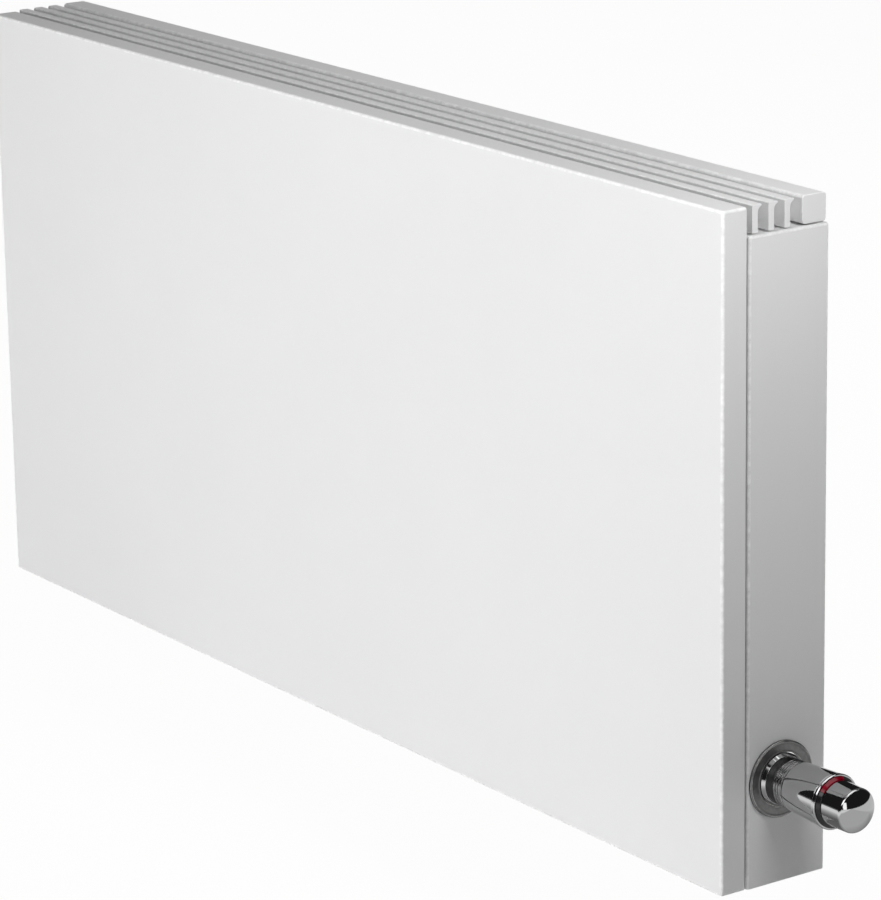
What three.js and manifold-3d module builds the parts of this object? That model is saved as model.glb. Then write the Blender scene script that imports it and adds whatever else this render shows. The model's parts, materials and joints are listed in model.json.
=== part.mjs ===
// A wall convector: a slim sheet-metal casing round a finned-tube heat exchanger, with a chrome
// thermostatic valve on its right end and a lockshield valve behind its left end panel.
//
// Frame: +X runs along the casing to the valve end, +Y into the wall, +Z up. The origin is the middle
// of the upper wall rail's back, on the wall. Millimetres.

import * as THREE from 'three';
import { mergeVertices } from 'three/addons/utils/BufferGeometryUtils.js';
import Module from 'manifold-3d';

const wasm = await Module();
wasm.setup();

// ---------------------------------------------------------------- driving dimensions

const FIT = 0.3; // gap kept between pieces that touch
const RUNNING_FIT = 0.45; // gap kept round pieces that turn or slide
const THREAD_FIT = 0.5; // gap kept round threaded pieces
const PAST = 1; // how far a cutting tool runs past the metal

// casing
const LENGTH = 1200; // end to end
const HEIGHT = 600; // front panel, lower edge to upper edge
const SHEET = 1.5; // steel sheet of the casing
const EDGE_RADIUS = 2.5; // outer bend radius of the casing's folded edges
const PANEL_RETURN = 25; // depth of the front panel's folded edges
const PANEL_LIP = 22; // width of the lips behind those edges
const PANEL_FOOT_RADIUS = 5; // rounding of the returns' lower rear corner
const SHADOW_GAP = 3; // between the front panel and the side panels
const SIDE_DEPTH = 86; // side panels, front to back
const SIDE_STEP = 25; // side panels end this far below the front panel's top
const SIDE_FLANGE = 25; // width of the side panels' inner flanges

// wall rails and screws
const RAIL_SHEET = 1.7;
const ORIGIN_BELOW_TOP = 65; // below the front panel's upper edge
const UPPER_RAIL_DROP = 25; // upper rail's plate reaches this far below the origin
const SHELF_DEPTH = 40; // the upper rail's shelf, which carries the grille
const SHELF_TURNDOWN = 12;
const LOWER_RAIL_HEIGHT = 190; // lower edge above the casing's lower edge
const LOWER_RAIL_WIDTH = 30;
const LOWER_RAIL_TURN = 8;
const WALL_HOLE_RADIUS = 3.5;
const WALL_HOLE_INSET = 100; // wall screw holes from the casing's ends
const RAIL_INSET = 4; // wall rails from the casing's ends
const RAIL_TO_FLANGE = 1; // rails' folds from the side panels' flanges
const SCREW_SHANK = 1.8;
const SCREW_HEAD = 4.2;
const SCREW_HEAD_HEIGHT = 2.2;
const SCREW_INSET = 15; // casing screws from the casing's ends
const SCREW_PLAY = 0.5; // round a casing screw's shank

// snap studs of the front panel
const STUD_INSET = 12;
const STUD_FROM_EDGE = 80; // from the casing's lower edge and from the side panels' top
const STUD_BALL = 3;
const STUD_NECK = 1.8;
const STUD_FOOT = 4.5;
const STUD_FOOT_HEIGHT = 0.8;
const STUD_REACH = 5; // ball centre behind the side panels' front face
const CLIP_WALL = 1.5;
const CLIP_RIM = 1.6;
const CLIP_RIM_THICKNESS = 1.2;
const CLIP_LENGTH = 9;
const CLIP_PLAY = 0.4; // round a clip in its hole

// grille
const BLADES = 3;
const BLADE_WEB = 6;
const BLADE_LIP = 4; // how far a blade's lip reaches past its web
const BLADE_LIP_HEIGHT = 4.5;
const BLADE_LIP_EDGE = 1.2;
const BLADE_CHAMFER = 0.6;
const BLADE_RISE = 1; // blades above the front panel's top
const BLADE_LIFT = 2; // grille above the side panels' top
const FRONT_SLOT = 6; // front panel to the first blade
const REAR_SLOT = 13; // last blade's web to the rear rail
const REAR_RAIL_DEPTH = 25.5;
const REAR_RAIL_WALL = 1.8;
const REAR_RAIL_RISE = 1.5;
const REAR_RAIL_INSET = 4; // from the side panels' rear edge
const REAR_RAIL_RADIUS = 3;
const CAP_THICKNESS = 2;
const CAP_PLUG = 8;
const TIE_WIDTH = 20;
const TIE_INSET = 50; // outer ties from the casing's ends
const TIE_POST = 2; // height of the ties' posts between the blades
const TIE_FRONT = 2.7; // ties reach this far in front of the first blade
const TIE_HEIGHT = 16;
const TIE_HOOK = 6;

// heat exchanger
const AXIS_HEIGHT = 94; // valve axis above the casing's lower edge
const FIN_FRONT_CLEAR = 1; // from the side panels' front plane
const FIN_BACK_CLEAR = 15; // from their rear plane
const FIN_HEIGHT = 100;
const FIN_THICKNESS = 1.2;
const FIN_WALLS = 17;
const FIN_PLAY = 0.4; // round a tube in a fin
const TUBE_RADIUS = 7.5;
const TUBE_WALL = 1.1;
const TUBE_PLAY = 0.55; // round a tube in its socket
const TUBE_SPREAD = 36; // front tubes to rear tubes
const TUBE_RISE = 48; // lower tubes to upper tubes
const COLLECTOR_WALL = 6;
const COLLECTOR_LENGTH = 28;
const COLLECTOR_EDGE = 4.5; // metal outside the tube sockets
const COLLECTOR_BOSS = 8;
const COLLECTOR_CORNER = 8;
const BOSS_WALL = 4.7;
const TUBE_SOCKET = 6;
const TUBE_STOP = 3; // metal behind the tubes' ends
const PACK_TO_COLLECTOR = 14;
const BRACKET_INSET = 150; // brackets from the casing's ends
const BRACKET_WIDTH = 40;
const BRACKET_SHEET = 2.5;
const BRACKET_LIP = 20;
const BRACKET_FOOT = 22; // lower end of a bracket's leg above the casing's lower edge
const BRACKET_TO_RAIL = 20;
const BRACKET_HOLE_DROP = 15; // bracket's screw hole below its upper end
const PAD_THICKNESS = 2.9;

// pipe fittings, from the collectors outwards
const TAIL_BORE = 6.2;
const TAIL_WALL = 2.4;
const TAIL_COLLAR = 2;
const TAIL_COLLAR_LENGTH = 3;
const TAIL_LENGTH = 22;
const TAIL_SOCKET = 11;
const NUT_WALL = 4;
const NUT_THREAD = 13;
const NUT_FLATS = 28;
const VALVE_SPIGOT = 9.7;
const SEAT_WALL = 5;
const SEAT_BORE = 5.2;
const SEAT_LENGTH = 3;
const CHAMBER_DEPTH = 21.3;
const CHAMBER_RADIUS = 10.2;
const BARREL_WALL = 4.8;
const BRANCH_BORE = 6.5;
const BRANCH_RADIUS = 10.6;
const BRANCH_DROP = 32;
const BRANCH_TO_BONNET = 1;
const BRANCH_NUT_LENGTH = 16;
const BRANCH_NUT_THREAD = 8;
const BRANCH_NUT_FLATS = 27;
const PIPE_RADIUS = 7.5;

// thermostatic insert
const BONNET_HEX = 5.7;
const BONNET_FLATS = 27;
const BONNET_PLUG = 8.3;
const HEAD_THREAD = 14.7; // radius of the M30 spigot that carries the head
const HEAD_THREAD_LENGTH = 12;
const SPIGOT_BEHIND_PANEL = 5; // spigot's tip behind the side panel's outer face
const STEM_RADIUS = 2;
const STEM_PROUD = 3; // stem's tip in front of the spigot
const STEM_TRAVEL = 1.25; // each way from rest
const DISC_RADIUS = 7.4;
const DISC_THICKNESS = 3.1;
const DISC_OPENING = 1.6; // disc off its seat at rest
const STEM_HEAD = 7.2; // radius of the stem's head, which carries the disc
const STEM_HEAD_THICKNESS = 2;
const BONNET_PLAY = 0.6; // round the bonnet's plug
const SPRING_POCKET = 6.9;
const POCKET_DEPTH = 10.2; // from the plug's end
const POCKET_MOUTH = 1.8; // thickness of the pocket's inner lip
const POCKET_MOUTH_PLAY = 1.05; // round the stem in that lip
const SPRING_CUP = 6.2; // radius of the stem's collar, which the spring lifts
const SPRING_CUP_THICKNESS = 1.2;
const SPRING_CUP_CLEAR = 0.75; // behind that collar with the valve wide open
const SPRING_WIRE = 0.45;
const SPRING_COIL = 4.4;
const SEAL_DEPTH = 7; // from the spigot's tip
const SEAL_RADIUS = 3.9;
const SEAL_LENGTH = 2;

// thermostatic head, distances outwards from the side panel's outer face
const ROSETTE_RADIUS = 34.5;
const ROSETTE_THICKNESS = 3;
const ROSETTE_PLAY = 0.6; // round the collar in the rosette
const PANEL_HOLE_PLAY = 1.8; // round the collar in the side panel
const COLLAR_RADIUS = 23.7;
const COLLAR_BEHIND = 14;
const COLLAR_END = 6.7;
const COLLAR_END_RADIUS = 21.8;
const COLLAR_LIP_REACH = 1.7; // how far the collar's lip holds the base's flange
const BASE_SETBACK = 0.5; // neck inside the sleeve's outer end
const BASE_PLAIN = 10; // plain part of the neck
const BASE_RIBS = 3;
const RIB_PITCH = 3.3;
const RIB_DEPTH = 0.8;
const BASE_TUBE_END = 60;
const BASE_TUBE_WALL = 2.2;
const BASE_FLOOR = 1.3;
const FLANGE_END = 1.3;
const PIN_PLAY = 0.8; // round the carriage's pin in the base
const SLEEVE_LENGTH = 46.7;
const SLEEVE_RADIUS = 22;
const SLEEVE_WALL = 3.55;
const SLEEVE_FLARE = 2.2; // how much the sleeve widens towards the ring
const BEAD_HEIGHT = 0.5;
const BEAD_WIDTH = 3.6;
const RING_LENGTH = 3.4;
const RING_SETBACK = 1.2; // ring inside the sleeve's wide end
const RING_STEP = 0.3; // ring's end proud of the knob
const LENS_ANGLE = 68;
const LENS_TILT = 18; // lens centre, from straight up towards the room
const KNOB_SETBACK = 2.7; // knob inside the ring's wide end
const KNOB_TAPER = 0.4;
const KNOB_LENGTH = 29.8;
const KNOB_DOME = 9;
const KNOB_WALL = 2.6;
const LINER_WALL = 1.8;
const LINER_REACH = 28; // how far the liner goes back into the base's tube
const LINER_FIT = 0.6; // round the liner in that tube
const LINER_CROWN = 1.8;
const CARRIAGE_WALL = 0.7;
const CUP_SETBACK = 2; // carriage's cup in front of the liner's inner end
const CUP_FLOOR = 2;
const PIN_TO_SPRING = 3; // between the carriage's pin and the spring round it
const CUP_LENGTH = 18;
const CAPSULE_LENGTH = 44;
const CAPSULE_PLAY = 0.4; // round the capsule in its cup
const SPRING_TO_LINER = 2.9; // between that spring and the liner
const HEAD_SPRING_WIRE = 1;
const PIN_COLLAR = 1.5; // width and thickness of the collar under that spring

// lockshield valve
const SHIELD_BARREL = 13;
const SPINDLE_RADIUS = 4.9;
const SPINDLE_LENGTH = 24;
const SPINDLE_SOCKET = 5.2; // across flats
const SPINDLE_SOCKET_DEPTH = 6;
const SPINDLE_POINT = 2; // taper of its tip
const SPINDLE_RECESS = 2; // spindle's end inside its spigot
const SHIELD_SPIGOT = 9.5;
const SHIELD_SPIGOT_LENGTH = 9;
const SHIELD_ROOF = 4; // metal between its chamber and its spigot
const SHIELD_CAP_RADIUS = 12.4;
const SHIELD_CAP_LENGTH = 15.5;
const SHIELD_CAP_GAP = 0.8; // cap from the barrel's end
const SHIELD_CAP_CROWN = 2.5;
const SHIELD_CAP_CHAMFER = 1.5;

// air vent screw
const VENT_RADIUS = 2.4;
const VENT_HEAD = 4.4;
const VENT_HEAD_HEIGHT = 4;
const VENT_BOSS = 5;
const VENT_BOSS_WALL = 2;
const VENT_DEPTH = 3; // how far the vent screw reaches into the collector's wall
const VENT_SLOT = 1.2;
const VENT_SLOT_DEPTH = 1.5;

const ROUND = 20; // sides of the head's round pieces
const FINE_ROUND = 28; // sides of its largest ones
const FITTING_ROUND = 16; // sides of the pipe fittings
const SMALL_ROUND = 12; // sides of small round pieces

// ---------------------------------------------------------------- derived places

const endX = LENGTH / 2;
const lowZ = ORIGIN_BELOW_TOP - HEIGHT;
const above = (height) => lowZ + height; // height above the casing's lower edge
const topZ = above(HEIGHT);
const sideTopZ = topZ - SIDE_STEP;

const wallGap = RAIL_SHEET + FIT;
const sideBackY = -wallGap;
const sideFrontY = sideBackY - SIDE_DEPTH;
const panelBackY = sideFrontY - SHADOW_GAP;
const panelFrontY = panelBackY - PANEL_RETURN;

const railBackY = sideBackY - REAR_RAIL_INSET;
const railFrontY = railBackY - REAR_RAIL_DEPTH;
const bladeFrontY = panelBackY + FRONT_SLOT;
const bladePitch = (railFrontY - REAR_SLOT - BLADE_WEB - bladeFrontY) / (BLADES - 1);
const grilleLowZ = sideTopZ + BLADE_LIFT;
const bladeTopZ = topZ + BLADE_RISE;
const bladeYs = Array.from({ length: BLADES }, (_, i) => bladeFrontY + i * bladePitch);
const tieXs = { left: -(endX - TIE_INSET), centre: 0, right: endX - TIE_INSET };
const tieTopZ = grilleLowZ - FIT;
const tieLowZ = tieTopZ - TIE_HEIGHT;
const shelfZ = tieLowZ - FIT;

const studZs = [above(STUD_FROM_EDGE), sideTopZ - STUD_FROM_EDGE];
const clipBore = STUD_BALL + RUNNING_FIT;
const clipRadius = clipBore + CLIP_WALL;
const clipHole = clipRadius + CLIP_PLAY;
const screwHole = SCREW_SHANK + SCREW_PLAY;
const lowerRailZ = above(LOWER_RAIL_HEIGHT);
const screwZs = [lowerRailZ + LOWER_RAIL_WIDTH / 2, -UPPER_RAIL_DROP / 2];

const finFrontY = sideFrontY + FIN_FRONT_CLEAR;
const finBackY = sideBackY - FIN_BACK_CLEAR;
const axisY = (finFrontY + finBackY) / 2;
const axisZ = above(AXIS_HEIGHT);
const finLowZ = axisZ - FIN_HEIGHT / 2;

// along the valve's axis, from the side panel inwards
const headThreadTip = endX - SPIGOT_BEHIND_PANEL;
const bonnetFace = headThreadTip - HEAD_THREAD_LENGTH;
const bonnetSeat = bonnetFace - BONNET_HEX;
const valveSeat = bonnetSeat - CHAMBER_DEPTH;
const barrelStart = valveSeat - SEAT_WALL;
const barrelEnd = bonnetSeat - FIT;
const barrelRadius = CHAMBER_RADIUS + BARREL_WALL;
const branchX = bonnetSeat - CHAMBER_RADIUS - BRANCH_TO_BONNET;
const spigotStart = barrelStart - VALVE_SPIGOT;
const tailEnd = spigotStart - FIT;
const tailStart = tailEnd - TAIL_LENGTH;
const tailRadius = TAIL_BORE + TAIL_WALL;
const tailCollarStart = tailEnd - TAIL_COLLAR_LENGTH;
const collectorEnd = tailStart + TAIL_SOCKET;
const collectorFace = collectorEnd - COLLECTOR_BOSS;
const collectorStart = collectorFace - COLLECTOR_LENGTH;
const tubeEnd = collectorStart + TUBE_SOCKET;
const packEnd = collectorStart - PACK_TO_COLLECTOR;
const chamberStart = tubeEnd + TUBE_STOP;
const portRadius = tailRadius + THREAD_FIT;
const chamberEnd = collectorFace - COLLECTOR_WALL;
const tubeSocketRadius = TUBE_RADIUS + TUBE_PLAY;
const collectorHalfWidth = TUBE_SPREAD / 2 + tubeSocketRadius + COLLECTOR_EDGE;
const collectorHalfHeight = TUBE_RISE / 2 + tubeSocketRadius + COLLECTOR_EDGE;

// ---------------------------------------------------------------- solids

function solidOf(geometry) {
  const bare = new THREE.BufferGeometry();
  bare.setAttribute('position', geometry.attributes.position.clone());
  if (geometry.index) bare.setIndex(geometry.index.clone());
  const merged = mergeVertices(bare, 1e-4);
  const points = merged.attributes.position.array;
  const corners = merged.index.array;
  const triangles = [];
  let volume = 0;
  const a = new THREE.Vector3();
  const b = new THREE.Vector3();
  const c = new THREE.Vector3();
  for (let i = 0; i < corners.length; i += 3) {
    const [p, q, r] = corners.slice(i, i + 3);
    if (p === q || q === r || r === p) continue;
    triangles.push([p, q, r]);
    a.fromArray(points, 3 * p);
    b.fromArray(points, 3 * q);
    c.fromArray(points, 3 * r);
    volume += a.dot(b.cross(c));
  }
  const outward = volume > 0 ? triangles : triangles.map(([p, q, r]) => [p, r, q]);
  return new wasm.Manifold(new wasm.Mesh({
    numProp: 3,
    vertProperties: new Float32Array(points),
    triVerts: new Uint32Array(outward.flat()),
  }));
}

function geometryOf(solid) {
  const mesh = solid.getMesh();
  const geometry = new THREE.BufferGeometry();
  geometry.setAttribute('position', new THREE.BufferAttribute(new Float32Array(mesh.vertProperties), 3));
  geometry.setIndex(new THREE.BufferAttribute(new Uint32Array(mesh.triVerts), 1));
  geometry.computeVertexNormals();
  return geometry;
}

const cut = (solid, ...tools) => tools.reduce((rest, tool) => rest.subtract(tool), solid);
const join = (solid, ...others) => others.reduce((rest, other) => rest.add(other), solid);

function block(x0, x1, y0, y1, z0, z1) {
  const geometry = new THREE.BoxGeometry(Math.abs(x1 - x0), Math.abs(y1 - y0), Math.abs(z1 - z0));
  geometry.translate((x0 + x1) / 2, (y0 + y1) / 2, (z0 + z1) / 2);
  return solidOf(geometry);
}

// A rectangle with its own radius at each corner: low-low, high-low, high-high, low-high.
function roundedOutline(a0, a1, b0, b1, radii, steps = 3) {
  const centres = [[a0, b0, 1, 1], [a1, b0, -1, 1], [a1, b1, -1, -1], [a0, b1, 1, -1]];
  const points = [];
  centres.forEach(([a, b, inwardA, inwardB], corner) => {
    const radius = radii[corner];
    if (radius === 0) {
      points.push(new THREE.Vector2(a, b));
      return;
    }
    for (let i = 0; i <= steps; i += 1) {
      const angle = Math.PI + (corner + i / steps) * (Math.PI / 2);
      points.push(new THREE.Vector2(
        a + radius * (inwardA + Math.cos(angle)),
        b + radius * (inwardB + Math.sin(angle)),
      ));
    }
  });
  return points;
}

function prism(outline, length, holes = []) {
  const shape = new THREE.Shape(outline);
  holes.forEach((hole) => shape.holes.push(new THREE.Path(hole)));
  return new THREE.ExtrudeGeometry(shape, { depth: length, bevelEnabled: false, steps: 1 });
}

// An outline in (x, y) raised from z0 to z1.
function alongZ(outline, z0, z1) {
  return solidOf(prism(outline, z1 - z0).translate(0, 0, z0));
}

// An outline in (y, z) pulled from x0 to x1.
function alongX(outline, x0, x1, holes = []) {
  const toAxes = new THREE.Matrix4().makeBasis(
    new THREE.Vector3(0, 1, 0),
    new THREE.Vector3(0, 0, 1),
    new THREE.Vector3(1, 0, 0),
  );
  return solidOf(prism(outline, x1 - x0, holes).applyMatrix4(toAxes).translate(x0, 0, 0));
}

// An outline in (x, z) pulled from y0 to y1.
function alongY(outline, y0, y1) {
  const toAxes = new THREE.Matrix4().makeBasis(
    new THREE.Vector3(1, 0, 0),
    new THREE.Vector3(0, 0, 1),
    new THREE.Vector3(0, -1, 0),
  );
  return solidOf(prism(outline, y1 - y0).applyMatrix4(toAxes).translate(0, y1, 0));
}

const lathe = (profile, sides) => new THREE.LatheGeometry(
  profile.map(([along, radius]) => new THREE.Vector2(radius, along)),
  sides,
);

// A profile of [along, radius] points turned about the X, Y or Z axis.
const turnedX = (profile, sides = ROUND) => solidOf(lathe(profile, sides).rotateZ(-Math.PI / 2));
const turnedY = (profile, sides = SMALL_ROUND) => solidOf(lathe(profile, sides));
const turnedZ = (profile, sides = SMALL_ROUND) => solidOf(lathe(profile, sides).rotateX(Math.PI / 2));

const rod = (from, to, radius) => [[from, 0], [from, radius], [to, radius], [to, 0]];
const tube = (from, to, bore, radius) => [
  [from, bore], [from, radius], [to, radius], [to, bore], [from, bore],
];

function hexagon(flats) {
  const radius = flats / Math.sqrt(3);
  return Array.from({ length: 6 }, (_, i) => new THREE.Vector2(
    radius * Math.cos((i * Math.PI) / 3),
    radius * Math.sin((i * Math.PI) / 3),
  ));
}

class Coil extends THREE.Curve {
  constructor(from, to, radius, turns) {
    super();
    Object.assign(this, { from, to, radius, turns });
  }

  getPoint(t, target = new THREE.Vector3()) {
    const angle = 2 * Math.PI * this.turns * t;
    return target.set(
      THREE.MathUtils.lerp(this.from, this.to, t),
      this.radius * Math.cos(angle),
      this.radius * Math.sin(angle),
    );
  }
}

function coilSpring(from, to, radius, wire, turns) {
  const section = new THREE.Shape(Array.from({ length: 5 }, (_, i) => new THREE.Vector2(
    wire * Math.cos((2 * Math.PI * i) / 5),
    wire * Math.sin((2 * Math.PI * i) / 5),
  )));
  const path = new Coil(from + wire, to - wire, radius, turns);
  return solidOf(new THREE.ExtrudeGeometry(section, { steps: turns * 9, extrudePath: path }));
}

// ---------------------------------------------------------------- finishes and the tree

const finish = (color, roughness, metalness) => new THREE.MeshStandardMaterial({
  color, roughness, metalness,
});
const PAINT = finish(0xe9e9ea, 0.45, 0);
const GALVANISED = finish(0xa8adb0, 0.5, 0.9);
const CHROME = finish(0xd8dadc, 0.08, 1);
const DARK_METAL = finish(0x55565a, 0.3, 1);
const SATIN_METAL = finish(0x7b7a7a, 0.42, 1);
const ALUMINIUM = finish(0xc4c7ca, 0.4, 1);
const COPPER = finish(0xb87048, 0.35, 1);
const BRASS = finish(0xc2a35a, 0.3, 1);
const NICKEL = finish(0xb9b6ae, 0.25, 1);
const STEEL = finish(0x9da1a6, 0.3, 1);
const RUBBER = finish(0x202124, 0.8, 0);
const BLACK_PLASTIC = finish(0x17181a, 0.35, 0);
const WHITE_PLASTIC = finish(0xdadad6, 0.5, 0);
const RED_PLASTIC = finish(0x8c0a1c, 0.15, 0);

const radiator = new THREE.Group();
const rightFittings = new THREE.Group();
rightFittings.position.set(0, axisY, axisZ);
const leftFittings = new THREE.Group();
leftFittings.position.set(0, axisY, axisZ);
leftFittings.rotation.z = Math.PI;
radiator.add(rightFittings, leftFittings);

function place(name, solid, material, group = radiator) {
  const mesh = new THREE.Mesh(geometryOf(solid), material);
  mesh.name = name;
  group.add(mesh);
  return mesh;
}

// ---------------------------------------------------------------- front panel

function stud(x, z) {
  const ballY = sideFrontY + STUD_REACH;
  const profile = [
    [panelBackY - SHEET / 2, 0],
    [panelBackY - SHEET / 2, STUD_FOOT],
    [panelBackY + STUD_FOOT_HEIGHT, STUD_FOOT],
    [panelBackY + STUD_FOOT_HEIGHT, STUD_NECK],
  ];
  const firstAngle = Math.asin(STUD_NECK / STUD_BALL);
  for (let i = 0; i <= 4; i += 1) {
    const angle = THREE.MathUtils.lerp(firstAngle, Math.PI, i / 4);
    const radius = i === 4 ? 0 : STUD_BALL * Math.sin(angle);
    profile.push([ballY - STUD_BALL * Math.cos(angle), radius]);
  }
  return turnedY(profile, 10).translate([x, 0, z]);
}

function frontPanel() {
  const bend = EDGE_RADIUS;
  const plan = roundedOutline(-endX, endX, panelFrontY, panelBackY, [bend, bend, 0, 0]);
  const section = roundedOutline(
    panelFrontY, panelBackY, lowZ, topZ, [bend, PANEL_FOOT_RADIUS, 0, bend],
  );
  const outer = alongZ(plan, lowZ, topZ).intersect(alongX(section, -endX, endX));
  const inner = block(
    -endX + SHEET, endX - SHEET, panelFrontY + SHEET, panelBackY - SHEET, lowZ + SHEET, topZ - SHEET,
  );
  const mouth = block(
    -endX + PANEL_LIP, endX - PANEL_LIP, panelBackY - 2 * SHEET, panelBackY + PAST,
    lowZ + PANEL_LIP, topZ - PANEL_LIP,
  );
  const studs = [-1, 1].flatMap((side) => studZs.map((z) => stud(side * (endX - STUD_INSET), z)));
  return join(cut(outer, inner, mouth), ...studs);
}

function clip(x, z) {
  const front = sideFrontY - FIT - CLIP_RIM_THICKNESS;
  const behindSheet = sideFrontY + SHEET + FIT;
  return turnedY([
    [front, clipBore],
    [front, clipRadius + CLIP_RIM],
    [sideFrontY - FIT, clipRadius + CLIP_RIM],
    [sideFrontY - FIT, clipRadius],
    [behindSheet, clipRadius],
    [behindSheet, clipRadius + CLIP_RIM / 2],
    [sideFrontY + CLIP_LENGTH, clipRadius - CLIP_WALL / 2],
    [sideFrontY + CLIP_LENGTH, clipBore],
    [front, clipBore],
  ]).translate([x, 0, z]);
}

place('front_panel', frontPanel(), PAINT);
let clipNumber = 0;
for (const side of [-1, 1]) {
  for (const z of studZs) {
    clipNumber += 1;
    place(`panel_clip_${clipNumber}`, clip(side * (endX - STUD_INSET), z), WHITE_PLASTIC);
  }
}

// ---------------------------------------------------------------- side panels

function sidePanel(side) {
  const [x0, x1] = side > 0 ? [endX - SIDE_FLANGE, endX] : [-endX, -endX + SIDE_FLANGE];
  const bend = EDGE_RADIUS;
  const corners = side > 0 ? [0, bend, bend, 0] : [bend, 0, 0, bend];
  const plan = roundedOutline(x0, x1, sideFrontY, sideBackY, corners);
  const topCorners = side > 0 ? [0, 0, bend, 0] : [0, 0, 0, bend];
  const elevation = roundedOutline(x0, x1, lowZ, sideTopZ, topCorners);
  const outer = alongZ(plan, lowZ, sideTopZ).intersect(alongY(elevation, sideFrontY, sideBackY));
  const web = side > 0 ? [x0 - PAST, x1 - SHEET] : [x0 + SHEET, x1 + PAST];
  const inner = block(
    ...web, sideFrontY + SHEET, sideBackY - SHEET, lowZ - PAST, sideTopZ - SHEET,
  );
  const clipX = side * (endX - STUD_INSET);
  const clipHoles = studZs.map((z) => turnedY(
    rod(sideFrontY - PAST, sideFrontY + SHEET + PAST, clipHole),
  ).translate([clipX, 0, z]));
  const screwX = side * (endX - SCREW_INSET);
  const screwHoles = screwZs.map((z) => turnedY(
    rod(sideBackY - SHEET - PAST, sideBackY + PAST, screwHole),
  ).translate([screwX, 0, z]));
  return cut(outer, inner, ...clipHoles, ...screwHoles);
}

const valveHole = turnedX(
  rod(endX - SHEET - PAST, endX + PAST, COLLAR_RADIUS + PANEL_HOLE_PLAY),
).translate([0, axisY, axisZ]);
place('side_panel_left', sidePanel(-1), PAINT);
place('side_panel_right', cut(sidePanel(1), valveHole), PAINT);

// ---------------------------------------------------------------- grille

function blade(frontY) {
  const back = frontY + BLADE_WEB;
  const lipLow = bladeTopZ - BLADE_LIP_HEIGHT;
  const outline = [
    [frontY + BLADE_CHAMFER, grilleLowZ], [back - BLADE_CHAMFER, grilleLowZ],
    [back, grilleLowZ + BLADE_CHAMFER], [back, lipLow],
    [back + BLADE_LIP, bladeTopZ - BLADE_LIP_EDGE],
    [back + BLADE_LIP - BLADE_CHAMFER, bladeTopZ], [frontY + BLADE_CHAMFER, bladeTopZ],
    [frontY, bladeTopZ - BLADE_CHAMFER], [frontY, grilleLowZ + BLADE_CHAMFER],
  ].map(([y, z]) => new THREE.Vector2(y, z));
  return alongX(outline, -endX, endX);
}

const railTopZ = topZ + REAR_RAIL_RISE;
const railRadii = Array(4).fill(REAR_RAIL_RADIUS);
const railOutline = roundedOutline(railFrontY, railBackY, grilleLowZ, railTopZ, railRadii);
const insetOutline = (inset) => roundedOutline(
  railFrontY + inset, railBackY - inset, grilleLowZ + inset, railTopZ - inset,
  Array(4).fill(REAR_RAIL_RADIUS - inset / 2),
);

function rearRail() {
  const half = endX - CAP_THICKNESS - FIT;
  return alongX(railOutline, -half, half, [insetOutline(REAR_RAIL_WALL)]);
}

function railCap(side) {
  const outer = side * endX;
  const face = side * (endX - CAP_THICKNESS);
  const plugEnd = side * (endX - CAP_THICKNESS - FIT - CAP_PLUG);
  const plate = alongX(railOutline, Math.min(outer, face), Math.max(outer, face));
  const plug = alongX(
    insetOutline(REAR_RAIL_WALL + FIT), Math.min(plugEnd, face + side), Math.max(plugEnd, face + side),
  );
  return join(plate, plug);
}

function grilleTie(x) {
  const low = x - TIE_WIDTH / 2;
  const high = x + TIE_WIDTH / 2;
  const front = bladeFrontY - TIE_FRONT;
  const shelfFrontY = -SHELF_DEPTH;
  const body = block(low, high, front, railBackY, tieLowZ, tieTopZ);
  const posts = block(low, high, front, railFrontY - FIT, tieTopZ - 1, tieTopZ + TIE_POST);
  const slots = bladeYs.map((y) => block(
    low - PAST, high + PAST, y - FIT, y + BLADE_WEB + FIT, tieTopZ, tieTopZ + TIE_POST + PAST,
  ));
  const hook = block(
    low, high, shelfFrontY - FIT - TIE_HOOK, shelfFrontY - FIT, tieLowZ - TIE_HOOK, tieLowZ + 1,
  );
  return join(cut(join(body, posts), ...slots), hook);
}

bladeYs.forEach((y, i) => place(`grille_blade_${i + 1}`, blade(y), PAINT));
place('rear_rail', rearRail(), PAINT);
place('rail_cap_left', railCap(-1), PAINT);
place('rail_cap_right', railCap(1), PAINT);
for (const [where, x] of Object.entries(tieXs)) {
  place(`grille_tie_${where}`, grilleTie(x), WHITE_PLASTIC);
}

// ---------------------------------------------------------------- wall rails, screws and brackets

const plateHalf = endX - RAIL_INSET;
const lipHalf = endX - SIDE_FLANGE - RAIL_TO_FLANGE;

// A pair of holes through a rail's plate, one near each end.
const railHoles = (radius, inset, z) => [-1, 1].map((side) => turnedY(
  rod(-RAIL_SHEET - PAST, PAST, radius),
).translate([side * (endX - inset), 0, z]));
const wallHoles = (z) => railHoles(WALL_HOLE_RADIUS, WALL_HOLE_INSET, z);
const casingHoles = (z) => railHoles(screwHole, SCREW_INSET, z);

function upperWallRail() {
  const plate = block(-plateHalf, plateHalf, -RAIL_SHEET, 0, -UPPER_RAIL_DROP, shelfZ - RAIL_SHEET);
  const riser = block(-lipHalf, lipHalf, -RAIL_SHEET, 0, 0, shelfZ);
  const shelf = block(-lipHalf, lipHalf, -SHELF_DEPTH, 0, shelfZ - RAIL_SHEET, shelfZ);
  const turndown = block(
    -lipHalf, lipHalf, -SHELF_DEPTH, -SHELF_DEPTH + RAIL_SHEET, shelfZ - SHELF_TURNDOWN, shelfZ,
  );
  return cut(join(plate, riser, shelf, turndown), ...wallHoles(0), ...casingHoles(screwZs[1]));
}

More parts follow.
